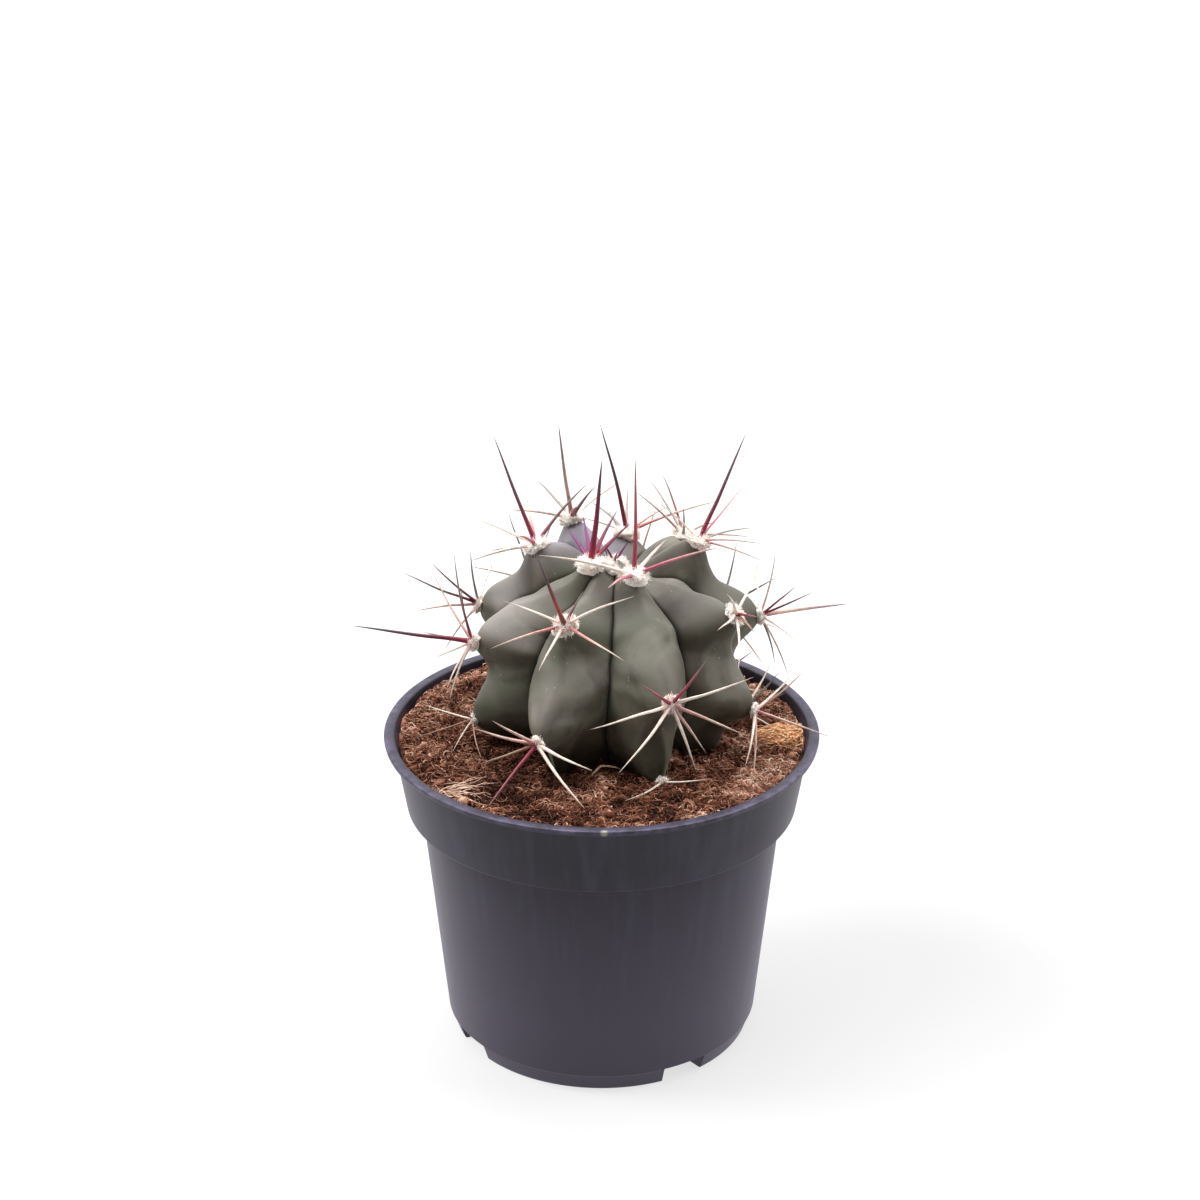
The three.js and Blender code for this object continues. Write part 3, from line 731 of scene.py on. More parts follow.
# A uniform Catmull-Rom curve through the crest line, as a dense table by arc length: the distance,
# radius, height and outward normal of each sample.
def crestTable(samples=2400):
    corners = np.array([crestLine[0], *crestLine, crestLine[-1]], float)
    place = np.linspace(0, len(crestLine) - 1 - 1e-9, samples)
    first = place.astype(int)
    t = (place - first)[:, None]
    p0, p1, p2, p3 = (corners[first + i] for i in range(4))
    bend = (p2 - p0) * t + (2 * p0 - 5 * p1 + 4 * p2 - p3) * t * t + (3 * p1 - p0 - 3 * p2 + p3) * t ** 3
    points = p1 + 0.5 * bend
    steps = np.linalg.norm(np.diff(points, axis=0), axis=1)
    distance = np.concatenate([[0], np.cumsum(steps)])
    tangent = unit(np.gradient(points, axis=0))
    return distance, points[:, 0], points[:, 1], -tangent[:, 1], tangent[:, 0]


crest = crestTable()
crestLength = crest[0][-1]
ribAzimuths = np.array([rib["azimuth"] for rib in ribs] + [ribs[0]["azimuth"] + 360], float)
ribBends, ribSinks = (
    np.array([rib.get(key, 0) for rib in ribs + ribs[:1]], float) for key in ("bend", "sink")
)


# The skin's smooth frame at a rib position (2.5 is the furrow after the third crest) and a distance
# along the crest: azimuth, span, share of the way to the furrow, radius, height, sink and normal.
def ribFrame(position, along):
    wrapped = position % len(ribs)
    index = np.floor(wrapped).astype(int)
    share = wrapped - index
    near = np.maximum(0, 1 - along / plant["grown"])
    left = ribAzimuths[index] + ribBends[index] * near
    right = ribAzimuths[index + 1] + ribBends[index + 1] * near
    radius, height, out, rise = (np.interp(along, crest[0], column) for column in crest[1:])
    return {
        "azimuth": mix(left, right, share),
        "span": right - left,
        "furrow": np.minimum(share, 1 - share) * 2,
        "radius": radius,
        "height": height,
        "sink": mix(ribSinks[index], ribSinks[index + 1], smoothstep(share, 0, 1)),
        "out": out * np.minimum(1, radius / plant["crownFlat"]),
        "rise": rise,
    }


# Puts a radius and height round the plant's own middle, with the crown's lean.
def placed(azimuth, radius, height, sink):
    share = smoothstep(height, plant["leanFrom"], plant["leanTo"])
    x = radius * np.sin(np.radians(azimuth))
    y = -radius * np.cos(np.radians(azimuth))
    return np.stack([
        x + mix(plant["foot"][0], plant["crown"][0], share),
        y + mix(plant["foot"][1], plant["crown"][1], share),
        height + (plant["lean"] * y - sink) * share,
    ], -1)


def bareCrest(index, along):
    f = ribFrame(np.float64(index), np.float64(along))
    return placed(f["azimuth"], f["radius"], f["height"], f["sink"])


# Each areole's number, name and seed, its place on the bare crest, and the height of its swelling
# with the swelling's reach towards the crown and the root.
areoles = [
    {**areole, "index": index, "name": f"areole_{rib['name']}{order}", "seed": index * 3 + order}
    for index, rib in enumerate(ribs) for order, areole in enumerate(rib["areoles"], 1)
]
for areole in areoles:
    height = float(np.interp(areole["along"], *plant["noseHeights"]))
    areole["nose"] = ribs[areole["index"]].get("nose", 1) * height
    areole["bare"] = bareCrest(areole["index"], areole["along"])
    grown = min(areole["along"] / plant["grown"], 1)
    areole["reach"] = [mix(plant["noseYoung"], plant[side], grown) for side in ("noseAbove", "noseBelow")]


# The skin: the crest line, less the furrow's section, plus a swelling under each areole. With w the
# share of the way from a crest to the furrow, the section is 0.8 w^1.45 + 0.2 w^26 of the furrow's
# depth, and towards the root it turns to 1 - (1 - w)^1.6, which is a sharper crest. A swelling falls
# off by a Gaussian, slowly towards the crown and fast towards the root. The fine skin has low lumps
# as well, and its furrows wander a little from side to side.
def skinPoints(position, along, grow=0.0, fine=0.0):
    f = ribFrame(position, along)
    bare = placed(f["azimuth"], f["radius"], f["height"], f["sink"])
    w = f["furrow"]
    depth = plant["furrow"] * (f["radius"] / plant["waist"]) ** 0.8 * np.sqrt(f["span"] / plant["ribSpan"])
    depth = depth * (1 + plant["footFurrow"] * smoothstep(along, 50, 85))
    section = mix(0.8 * w ** 1.45 + 0.2 * w ** 26, 1 - (1 - w) ** 1.6, 0.7 * smoothstep(along, 45, 75))
    out = grow - depth * section
    for areole in areoles:
        apart = np.sum((bare - areole["bare"]) ** 2, axis=-1)
        reach = mix(*areole["reach"], smoothstep(along - areole["along"], -5, 5))
        out = out + areole["nose"] * np.exp(-apart / reach ** 2)
    azimuth = f["azimuth"]
    if fine:
        shown = fine * smoothstep(f["radius"], 2, 10)
        for size, height, seed in plant["lumps"]:
            out = out + shown * height * valueNoise(bare / size, seed)
        size, degrees, seed = plant["wander"]
        azimuth = azimuth + shown * degrees * valueNoise(bare / size, seed)
    return placed(azimuth, f["radius"] + f["out"] * out, f["height"] + f["rise"] * out, f["sink"])


# The body's grid has its columns close together at the furrows. Its values say where the material
# has its wax bloom with painted light from above and the left, its lavender tone, the painted shade
# of its creases, and cork.
def makeBody(material):
    half = np.linspace(0, 1, plant["columns"] // 2, endpoint=False)
    toFurrow = 0.5 * (1 - (1 - half) ** 1.35)
    one = np.sort(np.concatenate([toFurrow, (1 - toFurrow[1:])[::-1], [0.5]]))
    position = (np.arange(len(ribs))[:, None] + one).ravel()
    shares, distances = plant["rowsAt"]
    along = np.interp(np.linspace(0, 1, plant["rows"]), shares, [*distances, crestLength])
    along, position = np.meshgrid(along, position, indexing="ij")
    points = skinPoints(position, along, fine=1.0)
    x, y = points[..., 0], points[..., 1]
    scar = np.zeros(points.shape[:2])
    for areole in areoles:
        below = bareCrest(areole["index"], areole["along"] + plant["scar"]["below"])
        apart = np.sum((points - below) ** 2, -1)
        scar += np.exp(-apart / plant["scar"]["spread"]) * smoothstep(areole["along"], 15, 30)
    across = np.roll(points, -1, axis=1) - np.roll(points, 1, axis=1)
    facingUp = unit(np.cross(np.gradient(points, axis=0), across))[..., 2]
    young = 1 - smoothstep(along, 8, 34)
    part = gridPart(points)
    part["values"] = {name: value.ravel() for name, value in {
        # wax bloom and painted light: paler where the skin faces up, most on the left
        "bloomAndTopLight": smoothstep(facingUp, 0.15, 0.95) * (0.38 + 0.62 * smoothstep(-x, 8, 28)),
        "lavender": young * smoothstep(y, 8, 20) * smoothstep(-x, -12, 2),
        # where the painted shade of the creases goes
        "furrow": ribFrame(position, along)["furrow"],
        "scar": np.clip(scar, 0, 1),
    }.items()}
    makePiece("cactus_skin", [part], [material], ["cactus_body"], merged=True)


# Cactus skin, grown: matte and grey-green, cloudy with paler green, under a paler grey that is wax bloom
# and painted light, laid where the skin faces up and most on the left, where the light falls, and lavender
# on the youngest part at the back. Furrows end in a line of painted shade along the crease, old areoles
# have brown cork below them, and pale pinpricks are scattered over all.
def waxySkin():
    material, tree, shader = newMaterial("waxy cactus skin", {
        "Roughness": 0.6, "IOR": 1.42, "Sheen Weight": 0.12, "Sheen Roughness": 0.5,
        "Sheen Tint": linear("#d9dcd2"), "Specular IOR Level": 0.35,
    })
    place = addNode(tree, "TexCoord").outputs["Object"]
    furrow, scar, bloomAndTopLight, lavender = (
        addNode(tree, "Attribute", attribute_name=name).outputs["Fac"]
        for name in ("furrow", "scar", "bloomAndTopLight", "lavender")
    )
    clouds, green, paler, ragged, sparse, pores = (
        addNode(tree, "TexNoise", {"Vector": place, "Scale": scale, "Detail": detail, "Distortion": bend})
        for scale, detail, bend in (
            (75, 5, 0.6), (42, 4, 0.8), (60, 3, 0.5), (420, 4, 0), (90, 1, 0), (1500, 3, 0))
    )
    ground = addNode(tree, "ValToRGB", {"Fac": clouds}, [
        (0.3, "#29241b"), (0.44, "#3d382b"), (0.56, "#4a4437"), (0.7, "#615a4d"),
    ])
    cork = addNode(tree, "Math", {0: scar, 1: ragged}, operation="MULTIPLY")
    dots = addNode(tree, "TexVoronoi", {"Vector": place, "Scale": 420})
    near = addNode(tree, "MapRange", {"Value": dots, "From Min": 0.12, "From Max": 0.04})
    some = addNode(tree, "MapRange", {"Value": sparse, "From Min": 0.55, "From Max": 0.6, "To Max": 0.5})
    pinpricks = addNode(tree, "Math", {0: near, 1: some}, operation="MULTIPLY")
    skin = layered(tree, ground, [
        (green, 0.47, 0.66, 0.75, "#4a4d3b"),
        (paler, 0.52, 0.6, 0.5, "#68675a"),
        # wax bloom and painted light from above and the left
        (bloomAndTopLight, 0, 1, 0.75, "#8f8b86"),
        (lavender, 0, 1, 0.75, "#918a9c"),
        # painted shade in the furrows' creases
        (furrow, 0.93, 1, 0.85, "#22231c"),
        (cork, 0.3, 0.5, 0.6, "#4c392c"),
        (pinpricks, 0, 1, 1, "#a3a196"),
    ])
    bump = addNode(tree, "Bump", {"Height": pores, "Strength": 0.35, "Distance": 0.00012})
    setInputs(tree, shader, {"Base Color": skin, "Normal": bump})
    return material


makeBody(waxySkin())
print("body ready")

# Colours of a spine at its root, a quarter, two thirds and its tip.
spineTints = {
    "cream": ["#d8bcae", "#efe4d8", "#e2d5c7", "#aca095"],
    "redCream": ["#8f2c44", "#c4827e", "#dcbfb0", "#a2958a"],
    "redGrey": ["#93304a", "#7d4a55", "#7c6768", "#85807e"],
    "pink": ["#b06a73", "#c79e95", "#cbb0a3", "#948980"],
    "red": ["#8c1f3a", "#8f3546", "#935258", "#866664"],
    "dark": ["#8c1236", "#691f35", "#523842", "#62575b"],
    "mottled": ["#4c2f31", "#a04a42", "#4e3539", "#655a5c"],
    "banded": ["#9a4f5b", "#cbab9f", "#9c8581", "#6f6265"],
    "crimson": ["#98002f", "#7c0633", "#661a3c", "#4f3a44"],
    "magenta": ["#8c1244", "#80205e", "#702a6a", "#684464"],
    "rose": ["#98284a", "#b05c70", "#c4868a", "#a8958e"],
    "brown": ["#84503f", "#a07660", "#a28674", "#7c6c60"],
    "grey": ["#ad9a94", "#9c958d", "#948f88", "#827e79"],
}

# An areole with no list of its own has a spread of spines, and near the soil fewer and shorter ones.
spray = {
    "count": 7, "lowCount": 5, "lowSpread": 44, "lift": 20, "lowLift": 28, "length": 19, "lowLength": 16,
    "vary": (14, 8, 4),           # of the clock angle, lift and length
    "tints": ["cream", "redGrey", "grey", "cream", "pink", "redCream", "cream"],
}

spine = {
    "radialRadius": 0.39, "centralRadius": 0.58, "youngCentralRadius": 0.8, "bow": 0.035,
    "rootRise": 0.4, "reach": 1.04, "wander": 0.012, "tintStops": (0, 0.25, 0.62, 1),
    "sides": 8, "radialSteps": 26, "centralSteps": 90, "ridgePitch": 0.85, "ridge": 0.03,
}

wool = {
    "youngRadius": 3.8, "oldRadius": 1.7, "ages": (8, 60), "flatness": 0.55,
    "padRows": 20, "padColumns": 36, "lumps": [(1.7, 0.28), (3.9, 0.2), (8.3, 0.08)],
    "tints": ("#fff4e8", "#f8d4ca"), "hairTints": ("#fff8ee", "#e8c4b2"),
    "hairs": 90, "hairsPerRadius": 50, "hairLength": 1.1, "hairRadius": 0.085, "hairSteps": 5,
    "blush": {
        "h1": 0.6, "f1": 0.5, "g1": 0.3, "c2": 0.5, "c3": 0.4, "d2": 0.8, "b2": 0.4, "e2": 0.3, "a2": 0.4,
    },
}

# Strips of an areole's UV map, side by side: its spines, then its pad below its hairs.
woolMap = {"spines": 0.6, "pad": (0.62, 0, 1, 0.35), "hairsFrom": 0.4, "strip": 0.02, "strips": 18}


# A place on the skin, with the directions up the rib, to its right and off the skin.
def skinFrame(position, along):
    f = ribFrame(np.float64(position), np.float64(along))
    angle = math.radians(f["azimuth"])
    outward = np.array([math.sin(angle), -math.cos(angle), 0])
    up = -f["rise"] * outward + np.array([0, 0, f["out"]])
    normal = f["out"] * outward + np.array([0, 0, f["rise"]])
    origin = skinPoints(np.float64(position), np.float64(along))
    return {"origin": origin, "up": up, "normal": normal, "right": np.cross(up, normal)}


# A spread of spines for an areole at the back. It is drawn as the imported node's is, from the
# fraction of a large sine.
def sprayOf(areole):
    def draw(i):
        value = math.sin(areole["seed"] * 12.9898 + i * 78.233) * 43758.5453
        return value - math.floor(value) - 0.5

    low = areole.get("low", False)
    count = spray["lowCount"] if low else spray["count"]
    turn, lift, length = spray["vary"]
    spines = []
    for i in range(count):
        clock = (i - (count - 1) / 2) * spray["lowSpread"] if low else areole["turned"] + i * 360 / count
        spines.append([
            clock + draw(i) * turn,
            spray["lowLift" if low else "lift"] + draw(i + 20) * lift,
            spray["lowLength" if low else "length"] + draw(i + 40) * length,
            spray["tints"][(i + areole["seed"]) % len(spray["tints"])],
        ])
    return spines


# Spines of one thickness: each line runs from the root along its direction, bows outwards by a
# parabola and wanders slightly. With t the share of the way to the tip, the radius falls as
# (1 - t^3)^0.75, a little faster along the shaft and wider at the root, with fine rings round it.
def spinesPart(place, spines, radius, steps, boxes, seed):
    numbers = np.array([s[:3] for s in spines], float)
    clock, lift = np.radians(numbers[:, :2].T)
    length = numbers[:, 2]
    direction = (np.cos(lift) * np.cos(clock))[:, None] * place["up"] \
        + (np.cos(lift) * np.sin(clock))[:, None] * place["right"] + np.sin(lift)[:, None] * place["normal"]
    side = unit(np.cross(place["normal"], direction) + 1e-6 * place["right"])
    outward = np.cross(direction, side)
    root = place["origin"] + place["normal"] * spine["rootRise"]
    t = np.linspace(0, 1, steps)
    bow = (spine["bow"] * length * np.cos(lift))[:, None] * 4 * t * (1 - t)
    length = length * spine["reach"]
    along = length[:, None] * t
    lines = root + direction[:, None] * along[..., None] + outward[:, None] * bow[..., None]
    number = np.arange(len(spines))[:, None] + 0 * bow
    wander = spine["wander"] * valueNoise(np.stack([t * 2.2 + 0 * bow, 0 * bow + seed, number], -1), 9)
    lines = lines + side[:, None] * (wander * length[:, None] * smoothstep(t, 0, 0.4))[..., None]
    taper = (1 - t ** 3) ** 0.75 * (1 - 0.35 * t) * (1 + 0.3 * (1 - t) ** 6) + 0.04
    rings = 1 + spine["ridge"] * np.sin(fullTurn * t * length[:, None] / spine["ridgePitch"])
    tint = np.stack([colourAt(t, spine["tintStops"], spineTints[s[3]]) for s in spines])
    values = {"tint": tint, "along": along}
    return tubesPart(lines, radius * taper * rings, side, spine["sides"], values, boxes)


# The pad of wool: a flattened ball whose radius swells and dips by noise, with painted shade in its dips
# and on its underside.
def padPart(place, radius, seed, blush):
    polar = np.linspace(0.02, math.pi - 0.02, wool["padRows"])[:, None]
    around = np.arange(wool["padColumns"]) * fullTurn / wool["padColumns"]
    ball = np.stack([
        np.sin(polar) * np.cos(around), np.sin(polar) * np.sin(around), np.cos(polar) + 0 * around,
    ], -1)
    lumps = 1 + sum(size * valueNoise(ball * pace + seed * 7.3, 5) for pace, size in wool["lumps"])
    local = ball * lumps[..., None] * radius * np.array([1, 1, wool["flatness"]])
    points = place["origin"] + local[..., :1] * place["right"] + local[..., 1:2] * place["up"] \
        + local[..., 2:] * place["normal"]
    box = woolMap["pad"]
    part = closeEnds(gridPart(points, box=box), wool["padColumns"], turn=-1, corner=box[:2])
    dipShade = mix(0.88, 1, smoothstep(lumps, 0.75, 1.1))
    # painted shade on the pad's underside
    under = mix(0.85, 1, smoothstep(local[..., 2], -0.5, radius * 0.4))
    tint = mix(*(np.array(linear(c)) for c in wool["tints"]), blush) * (dipShade * under)[..., None]
    part["values"] = {"tint": tint.reshape(-1, 4), "along": np.zeros(points.size // 3)}
    return part


# Wool hairs: strands from all over the pad's upper side, leaning out and curling, cream to pinkish,
# with painted shade at their roots and painted light at their tips.
def hairsPart(place, radius, blush, rng):
    count = int(wool["hairs"] + wool["hairsPerRadius"] * radius ** 2)
    height = 1 - rng.random(count) * 1.15
    around = rng.random(count) * fullTurn
    flat = np.sqrt(1 - height ** 2)
    axes = np.stack([place["right"], place["up"], place["normal"]])
    x, y = flat * np.cos(around), flat * np.sin(around)
    start = np.stack([x, y, height * wool["flatness"]], -1) * radius * 0.92
    direction = unit(np.stack([x, y, height + 0.25], -1) + rng.normal(0, 0.45, (count, 3)))
    length = wool["hairLength"] * rng.uniform(0.4, 1.4, count) * min(1, radius / 3.2)
    curl = unit(np.cross(direction, rng.normal(0, 1, (count, 3)))) * rng.uniform(0.3, 1.1, count)[:, None]
    t = np.linspace(0, 1, wool["hairSteps"])
    local = start[:, None] + direction[:, None] * (length[:, None] * t)[..., None] \
        + curl[:, None] * (length[:, None] * t * t)[..., None]
    lines = place["origin"] + local @ axes
    radii = wool["hairRadius"] * (1.02 - t) ** 0.5 * rng.uniform(0.7, 1.3, count)[:, None]
    reference = unit(np.cross(direction, curl)) @ axes
    left = woolMap["pad"][0] + woolMap["strip"] * (np.arange(count) % woolMap["strips"])
    right = left + 0.75 * woolMap["strip"]
    boxes = np.stack([left, woolMap["hairsFrom"] + 0 * left, right, 1 + 0 * left], -1)
    warm = np.clip(rng.random(count)[:, None] ** 2.5 + 0.7 * blush, 0, 1)
    colour = mix(*(np.array(linear(c)) for c in wool["hairTints"]), warm)
    # painted shade at the roots, painted light at the tips
    tint = np.clip(colour[:, None] * mix(0.95, 1.1, t)[None, :, None], 0, 1)
    return tubesPart(lines, radii, reference, 3, {"tint": tint, "along": 0 * radii}, boxes)


def makeAreole(areole, materials):
    place = skinFrame(areole["index"], areole["along"])
    radius = float(np.interp(areole["along"], wool["ages"], (wool["youngRadius"], wool["oldRadius"])))
    rng = np.random.default_rng(1000 + areole["seed"])
    spines = areole.get("spines") or sprayOf(areole)
    strip = woolMap["spines"] / (len(spines) + 1)
    boxes = [[k * strip, 0, (k + 0.9) * strip, 1] for k in range(len(spines) + 1)]
    sets = [(spines, spine["radialRadius"] * areole.get("thick", 1), spine["radialSteps"], boxes[:-1])]
    if "central" in areole:
        thick = spine["youngCentralRadius" if areole.get("young") else "centralRadius"]
        sets.append(([areole["central"]], thick, spine["centralSteps"], boxes[-1:]))
    hard = [{**spinesPart(place, *one, areole["seed"]), "look": 1} for one in sets]
    blush = wool["blush"].get(areole["name"][-2:], 0)
    soft = []
    drifts = [(skinFrame(*drift[:2]), drift[2]) for drift in areole.get("drifts", [])]
    for spot, size in [(place, radius)] + drifts:
        soft += [padPart(spot, size, areole["seed"], blush), hairsPart(spot, size, blush, rng)]
    makePiece(
        areole["name"] + "_spray", soft + hard, materials, [areole["name"]], mapped=True)


# Areole wool: matt felted hairs, cream with a pink cast, that let a little light through.
def felt():
    material, tree, shader, tufts = tintedMaterial("areole wool felt", {
        "Roughness": 0.95, "Specular IOR Level": 0.15, "Sheen Weight": 0.4, "Sheen Roughness": 0.6,
        "Subsurface Weight": 0.65, "Subsurface Radius": (1, 0.8, 0.7), "Subsurface Scale": 0.0014,
    }, 900, 4, (0.4, 0.75, 0.25, "#dfbfb0"))
    bump = addNode(tree, "Bump", {"Height": tufts, "Strength": 0.5, "Distance": 0.0003})
    setInputs(tree, shader, {"Normal": bump})
    return material


# Spine horn: hard, smooth and slightly glossy, with a streaky tint and growth rings round it, drawn
# 0.55 mm apart, which is coarse enough to show.
def horn():
    material, tree, shader, _ = tintedMaterial("spine horn", {
        "Roughness": 0.42, "IOR": 1.54, "Specular IOR Level": 0.35,
    }, 700, 3, (0.35, 0.7, 0.4, "#b0938a"))
    along = addNode(tree, "Attribute", attribute_name="along").outputs["Fac"]
    turns = addNode(tree, "Math", {0: along, 1: fullTurn / 0.55}, operation="MULTIPLY")
    rings = addNode(tree, "Math", {0: turns}, operation="SINE")
    bump = addNode(tree, "Bump", {"Height": rings, "Strength": 0.3, "Distance": 0.00008})
    setInputs(tree, shader, {"Normal": bump})
    return material


areoleMaterials = [felt(), horn()]
for areole in areoles:
    makeAreole(areole, areoleMaterials)
print("areoles ready:", len(areoles))

# Peat soil: a lumpy level that meets the wall and the plant. The level is 2 mm over the packed
# node's, as the photograph shows, rises a little more behind the plant on the left, and dips under
# the areoles that hang low.
soil = {
    "level": 87.1, "lump": 0.8, "backLeft": 1.0, "dip": 1.3, "dipReach": 4, "lowAreole": 90,
    "gap": 0.3, "rootGap": 0.2, "wallGap": 0.5,
    "socketRows": 16, "topRows": 96, "columns": 560,
    "crumbs": 2100, "grit": 3600, "fibres": 4500, "hairFibres": 3200,
    "reach": 55.0, "fibreReach": 55.3,      # how far out loose bits and the ends of fibres lie
    "lumps": [(5.6, 0.8), (2.4, 0.62), (1.05, 0.42), (0.45, 0.16)],     # (size, height)
}


def soilLumps(x, y):
    flat = np.stack([x, y, 0 * x], -1)
    return sum(size * valueNoise(flat / pace, 21) for pace, size in soil["lumps"])


# Height of the soil's top: waves of three sizes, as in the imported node, and finer lumps on them.
def soilHeight(x, y, fine=1.0):
    wave = np.sin(x * 0.21 + 1.3) * np.cos(y * 0.19 - 0.4) + 0.5 * np.sin(x * 0.47 + y * 0.38) \
        + 0.3 * np.cos(x * 0.83 - y * 0.71 + 2)
    height = soil["level"] + soil["backLeft"] * smoothstep(y * 0.6 - x, 15, 70) + soil["lump"] * wave / 1.8
    height = height + fine * soilLumps(x, y)
    for areole in areoles:
        if areole["bare"][2] < soil["lowAreole"]:
            apart = (x - areole["bare"][0]) ** 2 + (y - areole["bare"][1]) ** 2
            height = height - soil["dip"] * np.exp(-apart / soil["dipReach"] ** 2)
    return height


# Distance along the crest at which the skin passes a height, by Newton steps on the whole array.
def alongAtHeight(position, height):
    along = np.full(position.shape, 62.0)
    step = 0.5
    for _ in range(12):
        here = skinPoints(position, along)[..., 2]
        slope = (skinPoints(position, along + step)[..., 2] - here) / step
        along = along - (here - height) / slope
    return along


# The soil is one closed surface: up the plant's socket, out over the top and down inside the pot.
def makeSoil(material):
    gap = soil["gap"]
    notch = pot["ridgeHalfAngle"] + math.degrees(gap / pot["footBottom"])
    azimuths = potAzimuths([notch], soil["columns"] // 4)
    wrapped = (azimuths - ribAzimuths[0]) % 360 + ribAzimuths[0]
    position = np.interp(wrapped, ribAzimuths, np.arange(len(ribs) + 1)) % len(ribs)
    surface = alongAtHeight(position, soil["level"] - 0.4)
    share = np.linspace(0, 1, soil["socketRows"])[:, None]
    socket = skinPoints(position[None], mix(crestLength, surface, share), grow=soil["rootGap"])
    inner = socket[-1, :, :2]
    profile = roundedProfile(np.array(cavityInside(gap)[1:]).transpose(1, 0, 2))
    profile = profile[:, profile[0, :, 1] < soil["level"] - 2]
    foot = np.broadcast_to(footMask(azimuths, notch), (profile.shape[1], len(azimuths)))
    down = turnedPoints(profile, azimuths, foot)
    outer = unit(down[0, :, :2]) * (pot["collarTop"] - pot["wall"] - soil["wallGap"])
    share = np.linspace(0, 1, soil["topRows"])[1:, None, None]
    flat = mix(inner, outer, share)
    height = soilHeight(flat[..., 0], flat[..., 1])
    height = mix(socket[-1, :, 2], height, smoothstep(share[..., 0], 0, 0.03))
    top = np.concatenate([flat, height[..., None]], -1)
    grid = gridPart(np.concatenate([socket, top, down]))
    bare = 0.22 + 0.2 * valueNoise(grid["points"] / 1.1, 31)
    grid["values"] = {"tint": peatTint(peatToneWithPaintedLight(grid["points"][:, :2], bare))}
    makePiece("peat_soil", [grid], [material], ["soil"], merged=True)
    return inner


peatTones = ["#170a05", "#35190e", "#613623", "#926049", "#bd9079", "#e4c8b4"]


# A tone from the peat's own range, from 0, the darkest, to 1, the palest.
def peatTint(share):
    return colourAt(share, np.linspace(0, 1, len(peatTones)), peatTones)


# A tone for each spot, with painted shade and light: darker in the hollows and paler on the lumps,
# varied from patch to patch, and paler at the sides, which is painted light.
def peatToneWithPaintedLight(spots, tones):
    flat = np.concatenate([spots, 0 * spots[:, :1]], 1)
    # painted light: paler towards the sides
    paintedSideLight = 0.13 * smoothstep(np.abs(spots[:, 0]), 12, 46)
    # tone from patch to patch, with painted shade that follows the lumps, darker in the hollows
    patchAndHollowShade = 0.2 * valueNoise(flat / 6, 51) + 0.22 * soilLumps(spots[:, 0], spots[:, 1])
    return np.clip(0.1 + 0.8 * tones + paintedSideLight + patchAndHollowShade, 0, 1)


# Random spots on the soil, between the plant's outline and the wall.
def soilSpots(count, rng, outline, margin):
    spots = np.zeros((0, 2))
    centre = np.array(plant["foot"])
    outlineAngle = np.arctan2(outline[:, 1] - centre[1], outline[:, 0] - centre[0])
    order = np.argsort(outlineAngle)
    reach = np.linalg.norm(outline - centre, axis=1)[order]
    while len(spots) < count:
        radius = np.sqrt(rng.uniform(0, soil["reach"] ** 2, count * 2))
        tried = radius[:, None] * onCircle(rng.uniform(0, fullTurn, count * 2))
        apart = tried - centre
        limit = np.interp(np.arctan2(apart[:, 1], apart[:, 0]), outlineAngle[order], reach, period=fullTurn)
        spots = np.concatenate([spots, tried[np.linalg.norm(apart, axis=1) > limit + margin]])
    return spots[:count]


# A ball of 20 or 80 faces.
def ballShape(divisions):
    work = bmesh.new()
    bmesh.ops.create_icosphere(work, subdivisions=divisions, radius=1)
    points = np.array([v.co[:] for v in work.verts])
    faces = np.array([[v.index for v in f.verts] for f in work.faces])
    work.free()
    return points, faces


# Crumbs: copies of a ball, each stretched, roughened by noise, turned and set into the soil, and
# painted paler where the noise pushes them out and darker in its dents, as light and shade.
def crumbsPart(spots, sizes, divisions, rng, tones):
    ball, faces = ballShape(divisions)
    count = len(spots)
    shape = ball[None] * rng.uniform(0.55, 1.25, (count, 1, 3))
    rough = valueNoise(ball[None] * 1.6 + np.arange(count)[:, None, None] * 5.17, 41)
    shape = shape * (1 + 0.35 * rough[..., None]) * sizes[:, None, None]
    turn = np.linalg.qr(rng.normal(0, 1, (count, 3, 3)))[0]
    turn = turn * np.sign(np.linalg.det(turn))[:, None, None]
    shape = np.einsum("nij,nkj->nki", turn, shape)
    height = soilHeight(spots[:, 0], spots[:, 1]) + sizes * rng.uniform(-0.1, 0.5, count)
    points = shape + np.concatenate([spots, height[:, None]], 1)[:, None]
    allFaces = (faces[None] + (np.arange(count) * len(ball))[:, None, None]).reshape(-1, 3)
    # painted light and shade: paler where the noise pushes the crumb out, darker in its dents
    tint = peatTint(np.clip(tones[:, None] + 0.18 * rough, 0, 1))
    return {"points": points.reshape(-1, 3), "faces": [allFaces], "values": {"tint": tint.reshape(-1, 4)}}


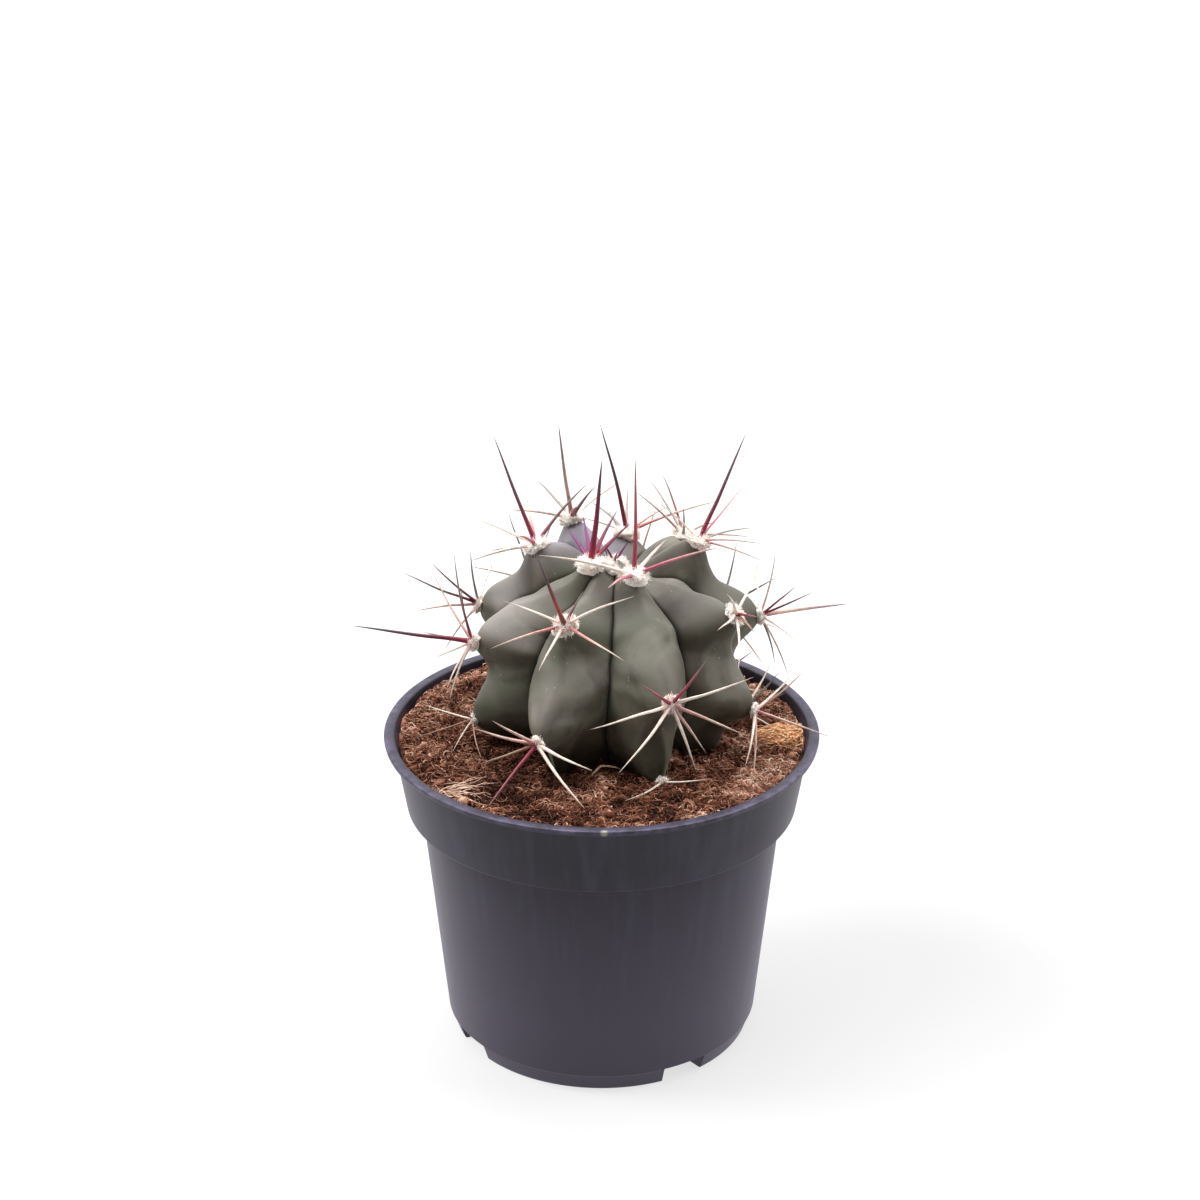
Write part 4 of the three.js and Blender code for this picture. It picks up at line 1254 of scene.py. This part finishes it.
# Fibres: thin bent strands that lie on the soil's top, each an arc that lifts off in the middle.
def fibresPart(spots, lengths, radii, rng, tones, heading=None, lift=0.5, bend=1.0, steps=6):
    count = len(spots)
    heading = rng.uniform(0, fullTurn, count) if heading is None else heading
    turning = rng.normal(0, 1.0, count) * bend
    t = np.linspace(-0.5, 0.5, steps)
    stride = onCircle(heading[:, None] + turning[:, None] * t) * (lengths / (steps - 1))[:, None, None]
    path = spots[:, None] + np.cumsum(stride, axis=1) - stride.sum(1, keepdims=True) / 2
    path = path * np.minimum(1, soil["fibreReach"] / np.linalg.norm(path, axis=-1, keepdims=True))
    arch = lift * rng.uniform(0.1, 1.6, count)[:, None] * (1 - 4 * t * t) + 0.25
    tilt = rng.normal(0, 0.5, count)[:, None] * t * lengths[:, None] * 0.35
    height = soilHeight(path[..., 0], path[..., 1], 0.5) + arch + np.abs(tilt)
    lines = np.concatenate([path, height[..., None]], -1)
    reference = np.tile(np.array([0.02, 0.01, 1.0]), (count, 1))
    thin = radii[:, None] * (1 - (2 * np.abs(t)) ** 3 * 0.75)
    tint = peatTint(np.clip(tones[:, None] + 0 * t, 0, 1))
    return tubesPart(lines, thin, reference, 3, {"tint": tint})


# Peat and coir, milled and damp: dull crumbs and fibres, each with its own tone from near black to
# straw, with a fine grain.
def milledPeat():
    material, tree, shader, grain = tintedMaterial("milled peat and coir", {
        "Roughness": 0.92, "Specular IOR Level": 0.2,
    }, 1300, 4, (0.3, 0.7, 0.6, "#8a6a5c"))
    bump = addNode(tree, "Bump", {"Height": grain, "Strength": 0.7, "Distance": 0.0003})
    setInputs(tree, shader, {"Normal": bump})
    return material


# Strands that fan out from one spot: dry straw, pressed down as it fell.
straw = {"count": 36, "root": (-42.2, -34.4), "heading": (-32, 38), "length": (5, 14), "radius": (0.09, 0.16)}


def strawPart(rng):
    count = straw["count"]
    heading = np.radians(rng.uniform(*straw["heading"], count))
    lengths = rng.uniform(*straw["length"], count)
    middle = onCircle(heading) * lengths[:, None] * 0.5
    spots = np.array(straw["root"]) + middle + rng.normal(0, 1.3, (count, 2))
    radii = rng.uniform(*straw["radius"], count)
    tones = rng.uniform(0.92, 1, count)
    return fibresPart(spots, lengths, radii, rng, tones, heading=heading, lift=1.3, bend=0.8, steps=8)


# A wad of golden coir: many short curled strands heaped on one spot.
wad = {
    "count": 700, "place": np.array([49.3, -0.6]), "spread": np.array([2.7, 2.2]), "length": (2.5, 8),
    "radius": (0.08, 0.16), "heap": 2.2, "steps": 7, "tint": (1.5, 1.32, 0.95, 1),
}


def wadPart(rng):
    count = wad["count"]
    spots = wad["place"] + rng.normal(0, 1, (count, 2)) * wad["spread"]
    lengths = rng.uniform(*wad["length"], count)
    radii = rng.uniform(*wad["radius"], count)
    heading = rng.normal(0, 0.7, count)
    tones = rng.uniform(0.74, 1, count)
    part = fibresPart(
        spots, lengths, radii, rng, tones, heading=heading, lift=1.2, bend=1.6, steps=wad["steps"])
    apart = np.sum(((part["points"][:, :2] - wad["place"]) / (2 * wad["spread"])) ** 2, axis=1)
    part["points"][:, 2] += wad["heap"] * rng.random(count).repeat(wad["steps"] * 3) * np.exp(-apart)
    part["values"]["tint"] = np.minimum(part["values"]["tint"] * np.array(wad["tint"]), 1)
    return part


# Loose bits that catch the eye: pale crumbs [x, y, size, tone] and one dropped spine.
loose = {
    "crumbs": [(2.5, -41.5, 0.5, 0.99), (22.0, -43.5, 0.9, 0.86), (28.5, -39.0, 0.7, 0.9)],
    "spine": {"spot": (1.0, -24.5), "length": 10.5, "heading": 29, "radius": 0.36, "tone": 1.0},
}


def loosePart(rng):
    crumbs = np.array(loose["crumbs"])
    spot, length, heading, radius, tone = (
        np.array([loose["spine"][key]]) for key in ("spot", "length", "heading", "radius", "tone")
    )
    lying = fibresPart(
        spot, length, radius, rng, tone, heading=np.radians(heading), lift=1.8, bend=0.6, steps=12)
    return crumbsPart(crumbs[:, :2], crumbs[:, 2], 2, rng, crumbs[:, 3]), lying


def makePeat():
    material = milledPeat()
    outline = makeSoil(material)

    def peatPiece(name, *parts):
        makePiece(name, parts, [material])

    rng = np.random.default_rng(77)
    spots = soilSpots(soil["crumbs"], rng, outline, 1.0)
    sizes = 0.4 + 0.9 * rng.random(len(spots)) ** 2.5
    crumbs = crumbsPart(spots, sizes, 2, rng, peatToneWithPaintedLight(spots, rng.uniform(0.1, 0.5, len(spots))))
    paleCrumbs, lying = loosePart(np.random.default_rng(5))
    peatPiece("peat_crumbs", crumbs, paleCrumbs)
    spots = soilSpots(soil["grit"], rng, outline, 0.5)
    tones = peatToneWithPaintedLight(spots, rng.beta(1.8, 2.2, len(spots)) * 0.9)
    peatPiece("peat_grit", crumbsPart(spots, rng.uniform(0.2, 0.55, len(spots)), 1, rng, tones))
    for name, thickness in (("peat_fibres", (0.16, 0.25)), ("peat_threads", (0.09, 0.17))):
        spots = soilSpots(soil["fibres"], rng, outline, 1.2)
        count = len(spots)
        lengths = 1.2 + 3.2 * rng.random(count) ** 1.4
        tones = peatToneWithPaintedLight(spots, rng.beta(2.2, 2.2, count) * 0.95)
        radii = rng.uniform(*thickness, count)
        peatPiece(name, fibresPart(spots, lengths, radii, rng, tones, bend=2.6, lift=0.55))
    spots = soilSpots(soil["hairFibres"], rng, outline, 1.2)
    count = len(spots)
    tones = peatToneWithPaintedLight(spots, rng.beta(2.5, 2.1, count))
    lengths, radii = rng.uniform(2.0, 6.5, count), rng.uniform(0.05, 0.11, count)
    hairs = fibresPart(spots, lengths, radii, rng, tones, bend=2.8, lift=0.9, steps=8)
    peatPiece("peat_root_hairs", hairs, strawPart(rng), lying)
    peatPiece("coir_wad", wadPart(rng))


makePeat()
print("peat ready")
